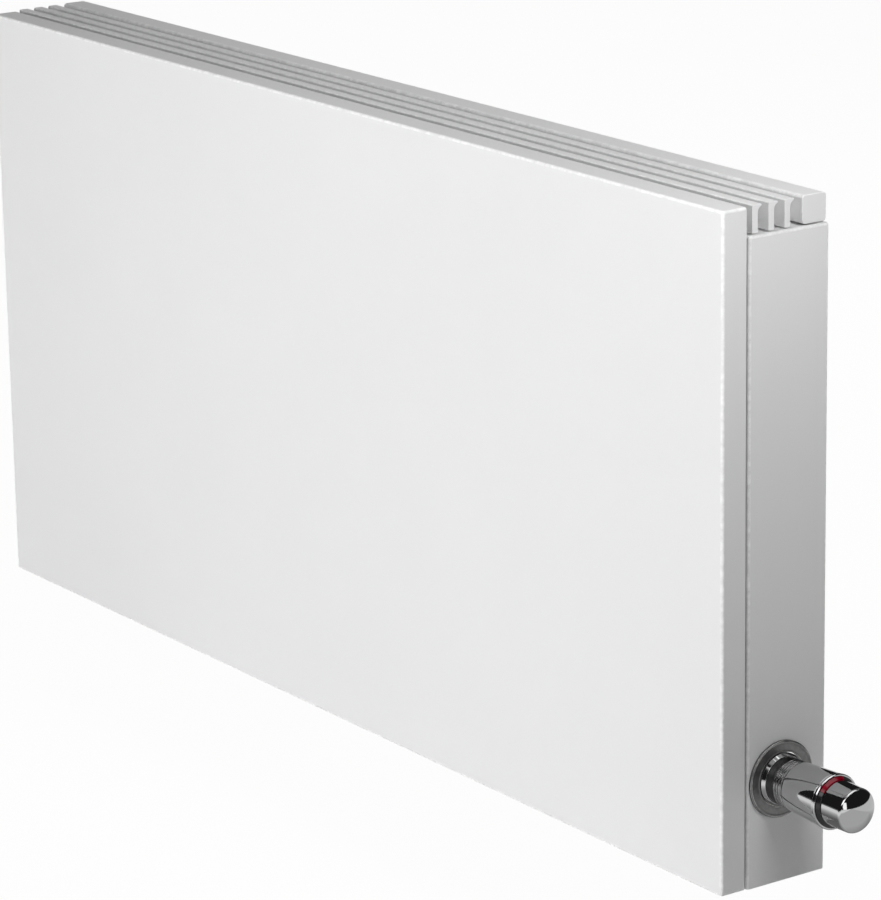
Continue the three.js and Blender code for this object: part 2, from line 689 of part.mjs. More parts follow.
function lowerWallRail() {
  const highZ = lowerRailZ + LOWER_RAIL_WIDTH;
  const plate = block(-plateHalf, plateHalf, -RAIL_SHEET, 0, lowerRailZ, highZ);
  const lips = [lowerRailZ, highZ - RAIL_SHEET].map((z) => block(
    -lipHalf, lipHalf, -LOWER_RAIL_TURN, 0, z, z + RAIL_SHEET,
  ));
  const middle = lowerRailZ + LOWER_RAIL_WIDTH / 2;
  return cut(join(plate, ...lips), ...wallHoles(middle), ...casingHoles(screwZs[0]));
}

function casingScrew(side, z) {
  const seat = sideBackY - SHEET - FIT;
  return turnedY([
    [seat - SCREW_HEAD_HEIGHT, 0], [seat - SCREW_HEAD_HEIGHT, SCREW_HEAD * 0.6],
    [seat - SCREW_HEAD_HEIGHT / 2, SCREW_HEAD], [seat, SCREW_HEAD], [seat, SCREW_SHANK],
    [-FIT, SCREW_SHANK], [-FIT, 0],
  ], 8).translate([side * (endX - SCREW_INSET), 0, z]);
}

const padLowZ = finLowZ - FIT - PAD_THICKNESS;
const armTopZ = padLowZ - FIT;

function exchangerBracket(x) {
  const frontY = sideFrontY - BRACKET_SHEET;
  const armZ = armTopZ - BRACKET_SHEET;
  const legTopZ = lowerRailZ - BRACKET_TO_RAIL;
  const outline = [
    [0, above(BRACKET_FOOT)], [0, legTopZ], [-BRACKET_SHEET, legTopZ], [-BRACKET_SHEET, armTopZ],
    [frontY + BRACKET_SHEET, armTopZ], [frontY + BRACKET_SHEET, armZ + BRACKET_LIP],
    [frontY, armZ + BRACKET_LIP], [frontY, armZ], [-BRACKET_SHEET, armZ],
    [-BRACKET_SHEET, above(BRACKET_FOOT)],
  ].map(([y, z]) => new THREE.Vector2(y, z));
  const strip = alongX(outline, x - BRACKET_WIDTH / 2, x + BRACKET_WIDTH / 2);
  const hole = turnedY(rod(-BRACKET_SHEET - PAST, PAST, WALL_HOLE_RADIUS))
    .translate([x, 0, legTopZ - BRACKET_HOLE_DROP]);
  return cut(strip, hole);
}

place('upper_wall_rail', upperWallRail(), GALVANISED);
place('lower_wall_rail', lowerWallRail(), GALVANISED);
let screwNumber = 0;
for (const side of [-1, 1]) {
  for (const z of screwZs) {
    screwNumber += 1;
    place(`casing_screw_${screwNumber}`, casingScrew(side, z), STEEL);
  }
}
for (const [where, side] of [['left', -1], ['right', 1]]) {
  const x = side * (endX - BRACKET_INSET);
  place(`exchanger_bracket_${where}`, exchangerBracket(x), GALVANISED);
  const half = BRACKET_WIDTH / 2;
  const pad = block(x - half, x + half, finFrontY, finBackY, padLowZ, padLowZ + PAD_THICKNESS);
  place(`bracket_pad_${where}`, pad, RUBBER);
}

// ---------------------------------------------------------------- heat exchanger

const tubeCentres = [-1, 1].flatMap((front) => [-1, 1].map((low) => [
  (front * TUBE_SPREAD) / 2, (low * TUBE_RISE) / 2,
]));

// A sheet folded to and fro: each wall is a fin, joined to the next at the front or at the back.
function finPack() {
  const pitch = (2 * packEnd - FIN_THICKNESS) / (FIN_WALLS - 1);
  const half = FIN_THICKNESS / 2;
  const ends = [finFrontY + half, finBackY - half];
  const fold = [];
  for (let i = 0; i < FIN_WALLS; i += 1) {
    const x = -packEnd + half + i * pitch;
    const first = i % 2;
    fold.push([x, ends[first]], [x, ends[1 - first]]);
  }
  const unit = (from, to) => {
    const length = Math.hypot(to[0] - from[0], to[1] - from[1]);
    return [(to[0] - from[0]) / length, (to[1] - from[1]) / length];
  };
  const offset = (side) => fold.map((point, i) => {
    const before = unit(fold[Math.max(i - 1, 0)], fold[Math.max(i, 1)]);
    const last = fold.length - 1;
    const after = unit(fold[Math.min(i, last - 1)], fold[Math.min(i + 1, last)]);
    const atEnd = i === 0 || i === last;
    const share = atEnd ? 0.5 : 1;
    return new THREE.Vector2(
      point[0] - side * half * share * (before[1] + after[1]),
      point[1] + side * half * share * (before[0] + after[0]),
    );
  });
  const outline = [...offset(1), ...offset(-1).reverse()];
  const holeRadius = (TUBE_RADIUS + FIN_PLAY) / Math.cos(Math.PI / 6);
  const bores = tubeCentres.map(([y, z]) => turnedX(rod(-packEnd - PAST, packEnd + PAST, holeRadius), 6)
    .translate([0, axisY + y, axisZ + z]));
  return cut(alongZ(outline, finLowZ, finLowZ + FIN_HEIGHT), ...bores);
}

function exchangerTube([y, z]) {
  const profile = tube(-tubeEnd, tubeEnd, TUBE_RADIUS - TUBE_WALL, TUBE_RADIUS);
  return turnedX(profile, SMALL_ROUND).translate([0, axisY + y, axisZ + z]);
}

place('fin_pack', finPack(), ALUMINIUM);
tubeCentres.forEach((centre, i) => place(`exchanger_tube_${i + 1}`, exchangerTube(centre), COPPER));

// Fittings are drawn on their own axis, from the middle of the casing outwards along +X.
function collector(vented) {
  const outline = roundedOutline(
    -collectorHalfWidth, collectorHalfWidth, -collectorHalfHeight, collectorHalfHeight,
    Array(4).fill(COLLECTOR_CORNER), 2,
  );
  const body = alongX(outline, collectorStart, collectorFace);
  const boss = turnedX(rod(collectorFace - 1, collectorEnd, portRadius + BOSS_WALL), FITTING_ROUND);
  const sockets = tubeCentres.map(([y, z]) => turnedX([
    [collectorStart - PAST, 0], [collectorStart - PAST, tubeSocketRadius],
    [tubeEnd + FIT, tubeSocketRadius], [tubeEnd + FIT, TUBE_RADIUS - TUBE_WALL],
    [chamberStart + PAST, TUBE_RADIUS - TUBE_WALL], [chamberStart + PAST, 0],
  ], SMALL_ROUND).translate([0, y, z]));
  const halfY = collectorHalfWidth - COLLECTOR_WALL;
  const halfZ = collectorHalfHeight - COLLECTOR_WALL;
  const chamber = block(chamberStart, chamberEnd, -halfY, halfY, -halfZ, halfZ);
  const port = turnedX(rod(chamberEnd - PAST, collectorEnd + PAST, portRadius), FITTING_ROUND);
  const hollow = cut(join(body, boss), ...sockets, chamber, port);
  if (!vented) return hollow;
  const ventX = (collectorStart + collectorFace) / 2;
  const ventTop = collectorHalfHeight + VENT_BOSS;
  const ventBoss = turnedZ(rod(collectorHalfHeight - 1, ventTop, VENT_HEAD + VENT_BOSS_WALL))
    .translate([ventX, 0, 0]);
  const ventBore = turnedZ(rod(halfZ - PAST, ventTop + PAST, VENT_RADIUS + RUNNING_FIT))
    .translate([ventX, 0, 0]);
  return cut(join(hollow, ventBoss), ventBore);
}

function ventScrew() {
  const top = collectorHalfHeight + VENT_BOSS + FIT;
  const x = (collectorStart + collectorFace) / 2;
  const tip = collectorHalfHeight - VENT_DEPTH;
  const headTop = top + VENT_HEAD_HEIGHT;
  const screw = turnedZ([
    [tip, 0], [tip, VENT_RADIUS], [top, VENT_RADIUS], [top, VENT_HEAD], [headTop, VENT_HEAD],
    [headTop, 0],
  ]);
  const slot = block(
    -VENT_HEAD, VENT_HEAD, -VENT_SLOT / 2, VENT_SLOT / 2, headTop - VENT_SLOT_DEPTH, headTop + PAST,
  );
  return cut(screw, slot).translate([x, 0, 0]);
}

function tailpiece() {
  return turnedX([
    [tailStart, TAIL_BORE], [tailStart, tailRadius], [tailCollarStart, tailRadius],
    [tailCollarStart, tailRadius + TAIL_COLLAR], [tailEnd, tailRadius + TAIL_COLLAR],
    [tailEnd, TAIL_BORE], [tailStart, TAIL_BORE],
  ], FITTING_ROUND);
}

function unionNut() {
  const start = tailCollarStart - FIT - NUT_WALL;
  const end = start + NUT_WALL + NUT_THREAD;
  const threadRadius = tailRadius + TAIL_COLLAR + THREAD_FIT;
  return cut(
    alongX(hexagon(NUT_FLATS), start, Math.min(end, barrelStart - FIT)),
    turnedX(rod(start - PAST, start + NUT_WALL + PAST, portRadius), FITTING_ROUND),
    turnedX(rod(start + NUT_WALL, end + PAST, threadRadius), FITTING_ROUND),
  );
}

place('collector_supply', collector(false), BRASS, rightFittings);
place('collector_return', collector(true), BRASS, leftFittings);
place('vent_screw', ventScrew(), NICKEL, leftFittings);
for (const [where, group] of [['supply', rightFittings], ['return', leftFittings]]) {
  place(`tailpiece_${where}`, tailpiece(), BRASS, group);
  place(`union_nut_${where}`, unionNut(), NICKEL, group);
}

// ---------------------------------------------------------------- valve bodies

const downwards = (drop, radius) => turnedZ(rod(-drop, 0, radius), FITTING_ROUND)
  .translate([branchX, 0, 0]);
const branch = () => downwards(BRANCH_DROP, BRANCH_RADIUS);
const branchBore = () => downwards(BRANCH_DROP + PAST, BRANCH_BORE);

function valveBody() {
  const shell = join(
    turnedX([
      [spigotStart, 0], [spigotStart, tailRadius + TAIL_COLLAR],
      [barrelStart, tailRadius + TAIL_COLLAR], [barrelStart, barrelRadius],
      [barrelEnd, barrelRadius], [barrelEnd, 0],
    ], FITTING_ROUND),
    branch(),
  );
  const waterway = turnedX([
    [spigotStart - PAST, 0], [spigotStart - PAST, TAIL_BORE],
    [valveSeat - SEAT_LENGTH, TAIL_BORE],
    [valveSeat - SEAT_LENGTH, SEAT_BORE], [valveSeat, SEAT_BORE], [valveSeat, CHAMBER_RADIUS],
    [barrelEnd + PAST, CHAMBER_RADIUS], [barrelEnd + PAST, 0],
  ], FITTING_ROUND);
  return cut(shell, waterway, branchBore());
}

function branchNut() {
  const top = -BRANCH_DROP + BRANCH_NUT_THREAD;
  const low = top - BRANCH_NUT_LENGTH;
  return cut(
    alongZ(hexagon(BRANCH_NUT_FLATS), low, top),
    turnedZ(rod(-BRANCH_DROP - FIT, top + PAST, BRANCH_RADIUS + THREAD_FIT), FITTING_ROUND),
    turnedZ(rod(low - PAST, top, PIPE_RADIUS + FIT), FITTING_ROUND),
  ).translate([branchX, 0, 0]);
}

place('valve_body', valveBody(), NICKEL, rightFittings);
place('inlet_nut', branchNut(), NICKEL, rightFittings);
place('outlet_nut', branchNut(), NICKEL, leftFittings);

function lockshieldBody() {
  const spigotTip = barrelEnd + SHIELD_SPIGOT_LENGTH;
  const shell = join(
    turnedX([
      [spigotStart, 0], [spigotStart, tailRadius + TAIL_COLLAR],
      [barrelStart, tailRadius + TAIL_COLLAR], [barrelStart, SHIELD_BARREL],
      [barrelEnd, SHIELD_BARREL], [barrelEnd, SHIELD_SPIGOT], [spigotTip, SHIELD_SPIGOT],
      [spigotTip, 0],
    ], FITTING_ROUND),
    branch(),
  );
  const waterway = turnedX([
    [spigotStart - PAST, 0], [spigotStart - PAST, TAIL_BORE],
    [valveSeat - SEAT_LENGTH, TAIL_BORE], [valveSeat - SEAT_LENGTH, SPINDLE_RADIUS - 1],
    [valveSeat, SPINDLE_RADIUS - 1],
    [valveSeat, SHIELD_BARREL - BARREL_WALL],
    [barrelEnd - SHIELD_ROOF, SHIELD_BARREL - BARREL_WALL],
    [barrelEnd - SHIELD_ROOF, SPINDLE_RADIUS + RUNNING_FIT],
    [spigotTip + PAST, SPINDLE_RADIUS + RUNNING_FIT], [spigotTip + PAST, 0],
  ], FITTING_ROUND);
  return cut(shell, waterway, branchBore());
}

function lockshieldSpindle() {
  const tip = barrelEnd + SHIELD_SPIGOT_LENGTH - SPINDLE_RECESS;
  const start = tip - SPINDLE_LENGTH;
  return cut(
    turnedX([
      [start, 0], [start, SPINDLE_RADIUS - SPINDLE_POINT],
      [start + 2 * SPINDLE_POINT, SPINDLE_RADIUS], [tip, SPINDLE_RADIUS], [tip, 0],
    ], FITTING_ROUND),
    alongX(hexagon(SPINDLE_SOCKET), tip - SPINDLE_SOCKET_DEPTH, tip + PAST),
  );
}

function lockshieldCap() {
  const start = barrelEnd + SHIELD_CAP_GAP;
  const end = start + SHIELD_CAP_LENGTH;
  const bore = SHIELD_SPIGOT + RUNNING_FIT;
  return turnedX([
    [start, bore], [start, SHIELD_CAP_RADIUS], [end - SHIELD_CAP_CHAMFER, SHIELD_CAP_RADIUS],
    [end, SHIELD_CAP_RADIUS - SHIELD_CAP_CHAMFER], [end, 0], [end - SHIELD_CAP_CROWN, 0],
    [end - SHIELD_CAP_CROWN, bore], [start, bore],
  ], FITTING_ROUND);
}

place('lockshield_body', lockshieldBody(), NICKEL, leftFittings);
place('lockshield_spindle', lockshieldSpindle(), BRASS, leftFittings);
place('lockshield_cap', lockshieldCap(), WHITE_PLASTIC, leftFittings);

// ---------------------------------------------------------------- thermostatic insert

const plugStart = bonnetSeat - BONNET_PLUG;
const pocketEnd = plugStart + POCKET_DEPTH;
const sealStart = headThreadTip - SEAL_DEPTH;
const sealEnd = sealStart + SEAL_LENGTH + 2 * FIT;
const discStart = valveSeat + DISC_OPENING;
const discEnd = discStart + DISC_THICKNESS;
const stemStart = discEnd + FIT;
const stemTip = headThreadTip + STEM_PROUD;
const springCup = pocketEnd - SPRING_CUP_CLEAR - STEM_TRAVEL - SPRING_CUP_THICKNESS;

function valveBonnet() {
  const shell = join(
    turnedX(rod(plugStart, bonnetSeat + 1, CHAMBER_RADIUS - BONNET_PLAY), FITTING_ROUND),
    alongX(hexagon(BONNET_FLATS), bonnetSeat, bonnetFace),
    turnedX(rod(bonnetFace - 1, headThreadTip, HEAD_THREAD)),
  );
  const stemBore = STEM_RADIUS + RUNNING_FIT;
  const mouthBore = STEM_RADIUS + POCKET_MOUTH_PLAY;
  const bores = turnedX([
    [plugStart - PAST, 0], [plugStart - PAST, mouthBore], [plugStart + POCKET_MOUTH, mouthBore],
    [plugStart + POCKET_MOUTH, SPRING_POCKET], [pocketEnd, SPRING_POCKET], [pocketEnd, stemBore],
    [sealStart, stemBore], [sealStart, SEAL_RADIUS + FIT], [sealEnd, SEAL_RADIUS + FIT],
    [sealEnd, stemBore], [headThreadTip + PAST, stemBore], [headThreadTip + PAST, 0],
  ], FITTING_ROUND);
  return cut(shell, bores);
}

function valveStem() {
  return turnedX([
    [stemStart, 0], [stemStart, STEM_HEAD], [stemStart + STEM_HEAD_THICKNESS, STEM_HEAD],
    [stemStart + STEM_HEAD_THICKNESS, STEM_RADIUS], [springCup, STEM_RADIUS],
    [springCup, SPRING_CUP], [springCup + SPRING_CUP_THICKNESS, SPRING_CUP],
    [springCup + SPRING_CUP_THICKNESS, STEM_RADIUS], [stemTip, STEM_RADIUS], [stemTip, 0],
  ], SMALL_ROUND);
}

place('valve_bonnet', valveBonnet(), BRASS, rightFittings);
place('valve_stem', valveStem(), STEEL, rightFittings);
place('valve_disc', turnedX(rod(discStart, discEnd, DISC_RADIUS), FITTING_ROUND), RUBBER, rightFittings);
place('return_spring', coilSpring(
  plugStart + POCKET_MOUTH + FIT, springCup - STEM_TRAVEL - FIT, SPRING_COIL, SPRING_WIRE, 3,
), STEEL, rightFittings);
place('stem_seal', turnedX(
  tube(sealStart + FIT, sealStart + FIT + SEAL_LENGTH, STEM_RADIUS + FIT, SEAL_RADIUS), SMALL_ROUND,
), RUBBER, rightFittings);

// ---------------------------------------------------------------- thermostatic head

const out = (distance) => endX + distance;
const baseStart = COLLAR_END + FIT;
const ribStart = baseStart + BASE_PLAIN;
const baseEnd = ribStart + BASE_RIBS * RIB_PITCH;
const sleeveStart = baseEnd + FIT;
const sleeveEnd = sleeveStart + SLEEVE_LENGTH;
const ringStart = sleeveEnd + FIT;
const ringEnd = ringStart + RING_LENGTH;
const knobStart = ringEnd + RUNNING_FIT;
const knobEnd = knobStart + KNOB_LENGTH;
const flangeStart = -SPIGOT_BEHIND_PANEL + FIT;
const sleeveBore = SLEEVE_RADIUS - SLEEVE_WALL;
const baseTubeRadius = sleeveBore - RUNNING_FIT;
const baseTubeBore = baseTubeRadius - BASE_TUBE_WALL;
const baseRadius = SLEEVE_RADIUS - BASE_SETBACK;
const sleeveEndRadius = SLEEVE_RADIUS + SLEEVE_FLARE;
const ringRadius = sleeveEndRadius - RING_SETBACK;
const knobRadius = ringRadius - KNOB_SETBACK;
const linerRadius = baseTubeBore - LINER_FIT;
const linerBore = linerRadius - LINER_WALL;
const headSpringRadius = linerBore - SPRING_TO_LINER - HEAD_SPRING_WIRE;
const pinRadius = headSpringRadius - HEAD_SPRING_WIRE - PIN_TO_SPRING;
const pinBore = pinRadius + PIN_PLAY;
const baseFloor = baseStart + BASE_FLOOR;
const threadBore = HEAD_THREAD + RUNNING_FIT;
const flangeRadius = threadBore + 2 * COLLAR_LIP_REACH - THREAD_FIT;
const collarLip = flangeRadius - COLLAR_LIP_REACH;

function rosette() {
  const bore = COLLAR_RADIUS + ROSETTE_PLAY;
  const face = FIT + ROSETTE_THICKNESS;
  return turnedX([
    [out(FIT), bore], [out(FIT), ROSETTE_RADIUS], [out(face - 1.4), ROSETTE_RADIUS],
    [out(face - 0.4), ROSETTE_RADIUS - 0.5], [out(face), ROSETTE_RADIUS - 1.5],
    [out(face), bore + 0.6], [out(face - 0.6), bore], [out(FIT), bore],
  ], FINE_ROUND);
}

function headCollar() {
  const recess = flangeRadius + THREAD_FIT;
  return turnedX([
    [out(-COLLAR_BEHIND), threadBore], [out(-COLLAR_BEHIND), COLLAR_RADIUS - 0.8],
    [out(-COLLAR_BEHIND + 0.8), COLLAR_RADIUS], [out(FIT + ROSETTE_THICKNESS), COLLAR_RADIUS],
    [out(COLLAR_END), COLLAR_END_RADIUS], [out(COLLAR_END), collarLip],
    [out(FLANGE_END + FIT), collarLip], [out(FLANGE_END + FIT), recess],
    [out(flangeStart - FIT), recess], [out(flangeStart - FIT), threadBore],
    [out(-COLLAR_BEHIND), threadBore],
  ]);
}

function headBase() {
  const profile = [
    [out(flangeStart), pinBore], [out(flangeStart), flangeRadius],
    [out(FLANGE_END), flangeRadius], [out(FLANGE_END), collarLip - THREAD_FIT],
    [out(baseStart), collarLip - THREAD_FIT], [out(baseStart), baseRadius],
    [out(ribStart), baseRadius],
  ];
  for (let i = 0; i < BASE_RIBS; i += 1) {
    const start = ribStart + i * RIB_PITCH;
    profile.push(
      [out(start + 0.8), baseRadius - RIB_DEPTH], [out(start + 1.6), baseRadius],
      [out(start + RIB_PITCH), baseRadius],
    );
  }
  profile.push(
    [out(baseEnd), baseTubeRadius], [out(BASE_TUBE_END), baseTubeRadius],
    [out(BASE_TUBE_END), baseTubeBore], [out(baseFloor), baseTubeBore],
    [out(baseFloor), pinBore], [out(flangeStart), pinBore],
  );
  return turnedX(profile);
}

function headSleeve() {
  const beadStart = sleeveEnd - BEAD_WIDTH;
  return turnedX([
    [out(sleeveStart), sleeveBore], [out(sleeveStart), SLEEVE_RADIUS - 1.2],
    [out(sleeveStart + 1.2), SLEEVE_RADIUS], [out(beadStart), sleeveEndRadius],
    [out(beadStart + 0.6), sleeveEndRadius + BEAD_HEIGHT],
    [out(sleeveEnd - 0.8), sleeveEndRadius + BEAD_HEIGHT], [out(sleeveEnd), sleeveEndRadius],
    [out(sleeveEnd), sleeveBore], [out(sleeveStart), sleeveBore],
  ], FINE_ROUND);
}

// A wedge that opens over an angle round the valve's axis, centred on the lens.
function wedge(angle, from, to) {
  const reach = 2 * ringRadius;
  const outline = [new THREE.Vector2(0, 0)];
  for (const share of [-0.5, 0, 0.5]) {
    const turn = THREE.MathUtils.degToRad(90 + LENS_TILT + share * angle);
    outline.push(new THREE.Vector2(reach * Math.cos(turn), reach * Math.sin(turn)));
  }
  return alongX(outline, from, to);
}

function indicator() {
  const ring = turnedX([
    [out(ringStart), sleeveBore], [out(ringStart), ringRadius],
    [out(ringEnd), knobRadius + RING_STEP], [out(ringEnd), sleeveBore],
    [out(ringStart), sleeveBore],
  ], FINE_ROUND);
  const gapAngle = THREE.MathUtils.radToDeg((2 * FIT) / sleeveBore);
  return {
    ring: ring.subtract(wedge(LENS_ANGLE + gapAngle, out(ringStart - 1), out(ringEnd + 1))),
    lens: ring.intersect(wedge(LENS_ANGLE, out(ringStart - 1), out(ringEnd + 1))),
  };
}

const knobBore = knobRadius - KNOB_WALL;
const domeStart = knobEnd - KNOB_DOME;

function knob() {
  const domeRadius = knobRadius - KNOB_TAPER;
  const profile = [
    [out(knobStart), knobBore], [out(knobStart), knobRadius - 0.5],
    [out(knobStart + 0.5), knobRadius], [out(domeStart - 1.5), domeRadius],
  ];
  const rim = [[0, 0.25], [1.4, 1.1], [3, 2.6], [5.6, 8], [7.6, 13.5]];
  rim.forEach(([along, inward]) => profile.push([out(domeStart + along), domeRadius - inward]));
  profile.push(
    [out(knobEnd), 0], [out(domeStart), 0], [out(domeStart), knobBore],
    [out(knobStart), knobBore],
  );
  return turnedX(profile, FINE_ROUND);
}

const linerStart = BASE_TUBE_END - LINER_REACH;
const linerHeadRadius = knobBore - RUNNING_FIT;
const linerStep = knobStart + FIT;
const linerEnd = domeStart - FIT;

function knobLiner() {
  return turnedX([
    [out(linerStart), linerBore], [out(linerStart), linerRadius], [out(linerStep), linerRadius],
    [out(linerStep), linerHeadRadius], [out(linerEnd), linerHeadRadius], [out(linerEnd), 0],
    [out(linerEnd - LINER_CROWN), 0], [out(linerEnd - LINER_CROWN), linerBore],
    [out(linerStart), linerBore],
  ]);
}

const carriageRadius = linerBore - RUNNING_FIT;
const cupStart = linerStart + CUP_SETBACK;
const cupFloor = cupStart + CUP_FLOOR;
const cupEnd = cupStart + CUP_LENGTH;
const pinStart = stemTip - endX + FIT;
const pinCollarStart = baseFloor + STEM_TRAVEL + FIT;
const pinCollarEnd = pinCollarStart + PIN_COLLAR;

function sensorCarriage() {
  const cupBore = carriageRadius - CARRIAGE_WALL;
  return turnedX([
    [out(pinStart), 0], [out(pinStart), pinRadius], [out(pinCollarStart), pinRadius],
    [out(pinCollarStart), headSpringRadius + PIN_COLLAR],
    [out(pinCollarEnd), headSpringRadius + PIN_COLLAR], [out(pinCollarEnd), pinRadius],
    [out(cupStart), pinRadius], [out(cupStart), carriageRadius], [out(cupEnd), carriageRadius],
    [out(cupEnd), cupBore], [out(cupFloor), cupBore], [out(cupFloor), 0],
  ]);
}

function sensorCapsule() {
  const radius = carriageRadius - CARRIAGE_WALL - CAPSULE_PLAY;
  const start = cupFloor + FIT;
  const end = start + CAPSULE_LENGTH;
  return turnedX([
    [out(start), 0], [out(start), radius - 0.8], [out(start + 0.8), radius],
    [out(end - 2), radius], [out(end), radius - 2], [out(end), 0],
  ]);
}

const indicatorPieces = indicator();
place('rosette', rosette(), SATIN_METAL, rightFittings);
place('head_collar', headCollar(), CHROME, rightFittings);
place('head_base', headBase(), DARK_METAL, rightFittings);
place('head_sleeve', headSleeve(), CHROME, rightFittings);
place('indicator_ring', indicatorPieces.ring, BLACK_PLASTIC, rightFittings);
place('indicator_lens', indicatorPieces.lens, RED_PLASTIC, rightFittings);
place('knob', knob(), CHROME, rightFittings);
place('knob_liner', knobLiner(), BLACK_PLASTIC, rightFittings);
place('sensor_carriage', sensorCarriage(), WHITE_PLASTIC, rightFittings);
place('sensor_capsule', sensorCapsule(), ALUMINIUM, rightFittings);
place('overtravel_spring', coilSpring(
  out(pinCollarEnd + FIT), out(cupStart - FIT), headSpringRadius, HEAD_SPRING_WIRE, 4,
), STEEL, rightFittings);

export default radiator;
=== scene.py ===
"""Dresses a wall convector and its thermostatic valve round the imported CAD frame.

Lengths are metres in the CAD model's frame: +X runs along the casing to the valve, +Y into the
wall and +Z up. Profiles are millimetres. Run as a script, the file builds every piece and the
studio. Its operators are also listed in the Convector tab of the 3D view's sidebar.
"""

import json
import math
from contextlib import contextmanager

import bmesh
import bpy
from bpy.props import FloatProperty, FloatVectorProperty, IntProperty, PointerProperty
from mathutils import Matrix, Vector


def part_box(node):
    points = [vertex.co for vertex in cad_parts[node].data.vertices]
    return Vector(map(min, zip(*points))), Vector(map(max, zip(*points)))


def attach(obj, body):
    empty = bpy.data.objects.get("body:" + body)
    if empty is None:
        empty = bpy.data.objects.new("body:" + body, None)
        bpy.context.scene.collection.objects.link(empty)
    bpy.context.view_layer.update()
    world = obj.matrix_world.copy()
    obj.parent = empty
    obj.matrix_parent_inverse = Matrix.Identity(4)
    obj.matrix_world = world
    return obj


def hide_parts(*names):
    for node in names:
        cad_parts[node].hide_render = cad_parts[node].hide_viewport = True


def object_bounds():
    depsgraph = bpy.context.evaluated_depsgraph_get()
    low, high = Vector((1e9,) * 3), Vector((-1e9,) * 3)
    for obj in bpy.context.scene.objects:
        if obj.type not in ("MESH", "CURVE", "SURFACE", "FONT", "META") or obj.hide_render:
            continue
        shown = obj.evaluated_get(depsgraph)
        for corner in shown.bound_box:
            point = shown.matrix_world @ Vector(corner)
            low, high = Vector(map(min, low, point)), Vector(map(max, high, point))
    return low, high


bl_info = {
    "name": "Wall convector",
    "version": (1, 0, 0),
    "blender": (4, 5, 0),
    "location": "View3D > Sidebar > Convector",
    "description": "Models and finishes a wall convector with a thermostatic valve",
    "category": "Object",
}

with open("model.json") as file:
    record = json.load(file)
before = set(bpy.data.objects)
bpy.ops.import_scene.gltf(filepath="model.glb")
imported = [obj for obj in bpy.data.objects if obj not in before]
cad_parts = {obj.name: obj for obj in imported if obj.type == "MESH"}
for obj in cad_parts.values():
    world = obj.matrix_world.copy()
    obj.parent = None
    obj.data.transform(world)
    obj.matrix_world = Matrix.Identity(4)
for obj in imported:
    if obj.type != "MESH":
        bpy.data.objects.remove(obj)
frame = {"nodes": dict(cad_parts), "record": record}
CAD_LOW, CAD_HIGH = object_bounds()

MM = 0.001
TO_MM = 1000
MERGE = 0.002 * MM  # points closer than this are one
ALONG_X, ALONG_Y, ALONG_Z = Vector((1, 0, 0)), Vector((0, 1, 0)), Vector((0, 0, 1))

# ------------------------------------------------------------------ places

PANEL_LOW, PANEL_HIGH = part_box("front_panel")
SIDE_LOW, SIDE_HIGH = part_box("side_panel_right")
VALVE_AXIS = sum(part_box("rosette"), Vector()) / 2 * Vector((0, 1, 1))
VALVE_FACE = VALVE_AXIS + ALONG_X * SIDE_HIGH.x  # where the axis leaves the side panel
BRANCH = VALVE_AXIS + ALONG_X * (566.1 * MM)  # where the pipe's branch meets the axis
PANEL_GAP = 3 * MM  # from the front panel's lips to the side panels' flanges

# In millimetres: how far out the fixings lie, the heights of the lower and the upper one, and the
# radii of the side panel's holes.
CLIP_X, CLIP_HEIGHTS = 588, (-455, -40)
SCREW_X, SCREW_HEIGHTS = 585, (-330, -12.5)
CLIP_HOLE, SCREW_HOLE, VALVE_HOLE = 5.35, 2.3, 25.5

# In millimetres: the water tubes, the right collector's two ends, and the air vent.
TUBE_PLACES = ((-70, -465), (-70, -417), (-34, -465), (-34, -417))
TUBE_RADIUS, TUBE_END = 7.5, 500
COLLECTOR_ENDS = (494, 522)
VENT_X = 508

# ------------------------------------------------------------------ settings


def length(name, description, default):
    return FloatProperty(name=name, description=description, default=default, unit="LENGTH")


def power(name, description, default):
    return FloatProperty(name=name, description=description, default=default, unit="POWER")


def turn(name, description, degrees):
    return FloatProperty(
        name=name, description=description, default=math.radians(degrees), unit="ROTATION"
    )


def colour(name, description, default):
    return FloatVectorProperty(
        name=name, description=description, default=default, subtype="COLOR", min=0, max=1
    )


class ConvectorCasing(bpy.types.PropertyGroup):
    """Sizes of the sheet-metal casing and the grille."""

    sheet: length("Sheet", "Thickness of the casing's steel", 0.0015)
    bend: length("Bend radius", "Outer radius of the folded edges", 0.0025)
    foot: length("Foot radius", "Rounding of the front panel's lower rear edge", 0.005)
    lip: length("Lip", "Width of the lips behind the front panel", 0.022)
    blade_web: length("Blade web", "Thickness of a grille blade's upright part", 0.006)
    blade_flare: length("Blade flare", "Height over which a blade widens to its upper edge", 0.0055)
    rail_radius: length("Rail radius", "Rounding of the rear rail's long edges", 0.003)


class ConvectorExchanger(bpy.types.PropertyGroup):
    """Sizes of the finned heat exchanger."""

    fin_pitch: length("Fin pitch", "Distance from one fin to the next", 0.004)
    fin_sheet: length("Fin sheet", "Thickness of a fin", 0.0003)
    tube_wall: length("Tube wall", "Wall thickness of the copper tubes", 0.0011)


class ConvectorHead(bpy.types.PropertyGroup):
    """Sizes of the thermostatic head."""

    facets: IntProperty(
        name="Facets", description="Sides of a turned piece", default=128, min=24, max=512
    )
    ribs: IntProperty(name="Ribs", description="Ribs round the neck", default=3, min=1, max=8)
    rib_pitch: length("Rib pitch", "Distance from one rib to the next", 0.0033)
    rib_height: length("Rib height", "Depth of the grooves between the ribs", 0.0008)
    rim_radius: length("Rim radius", "Rounding between the knob's side and its domed end", 0.0035)
    lens_angle: turn("Lens angle", "Angle that the red lens takes round the ring", 68)
    lens_tilt: turn("Lens tilt", "Middle of the lens, from straight up towards the room", 18)


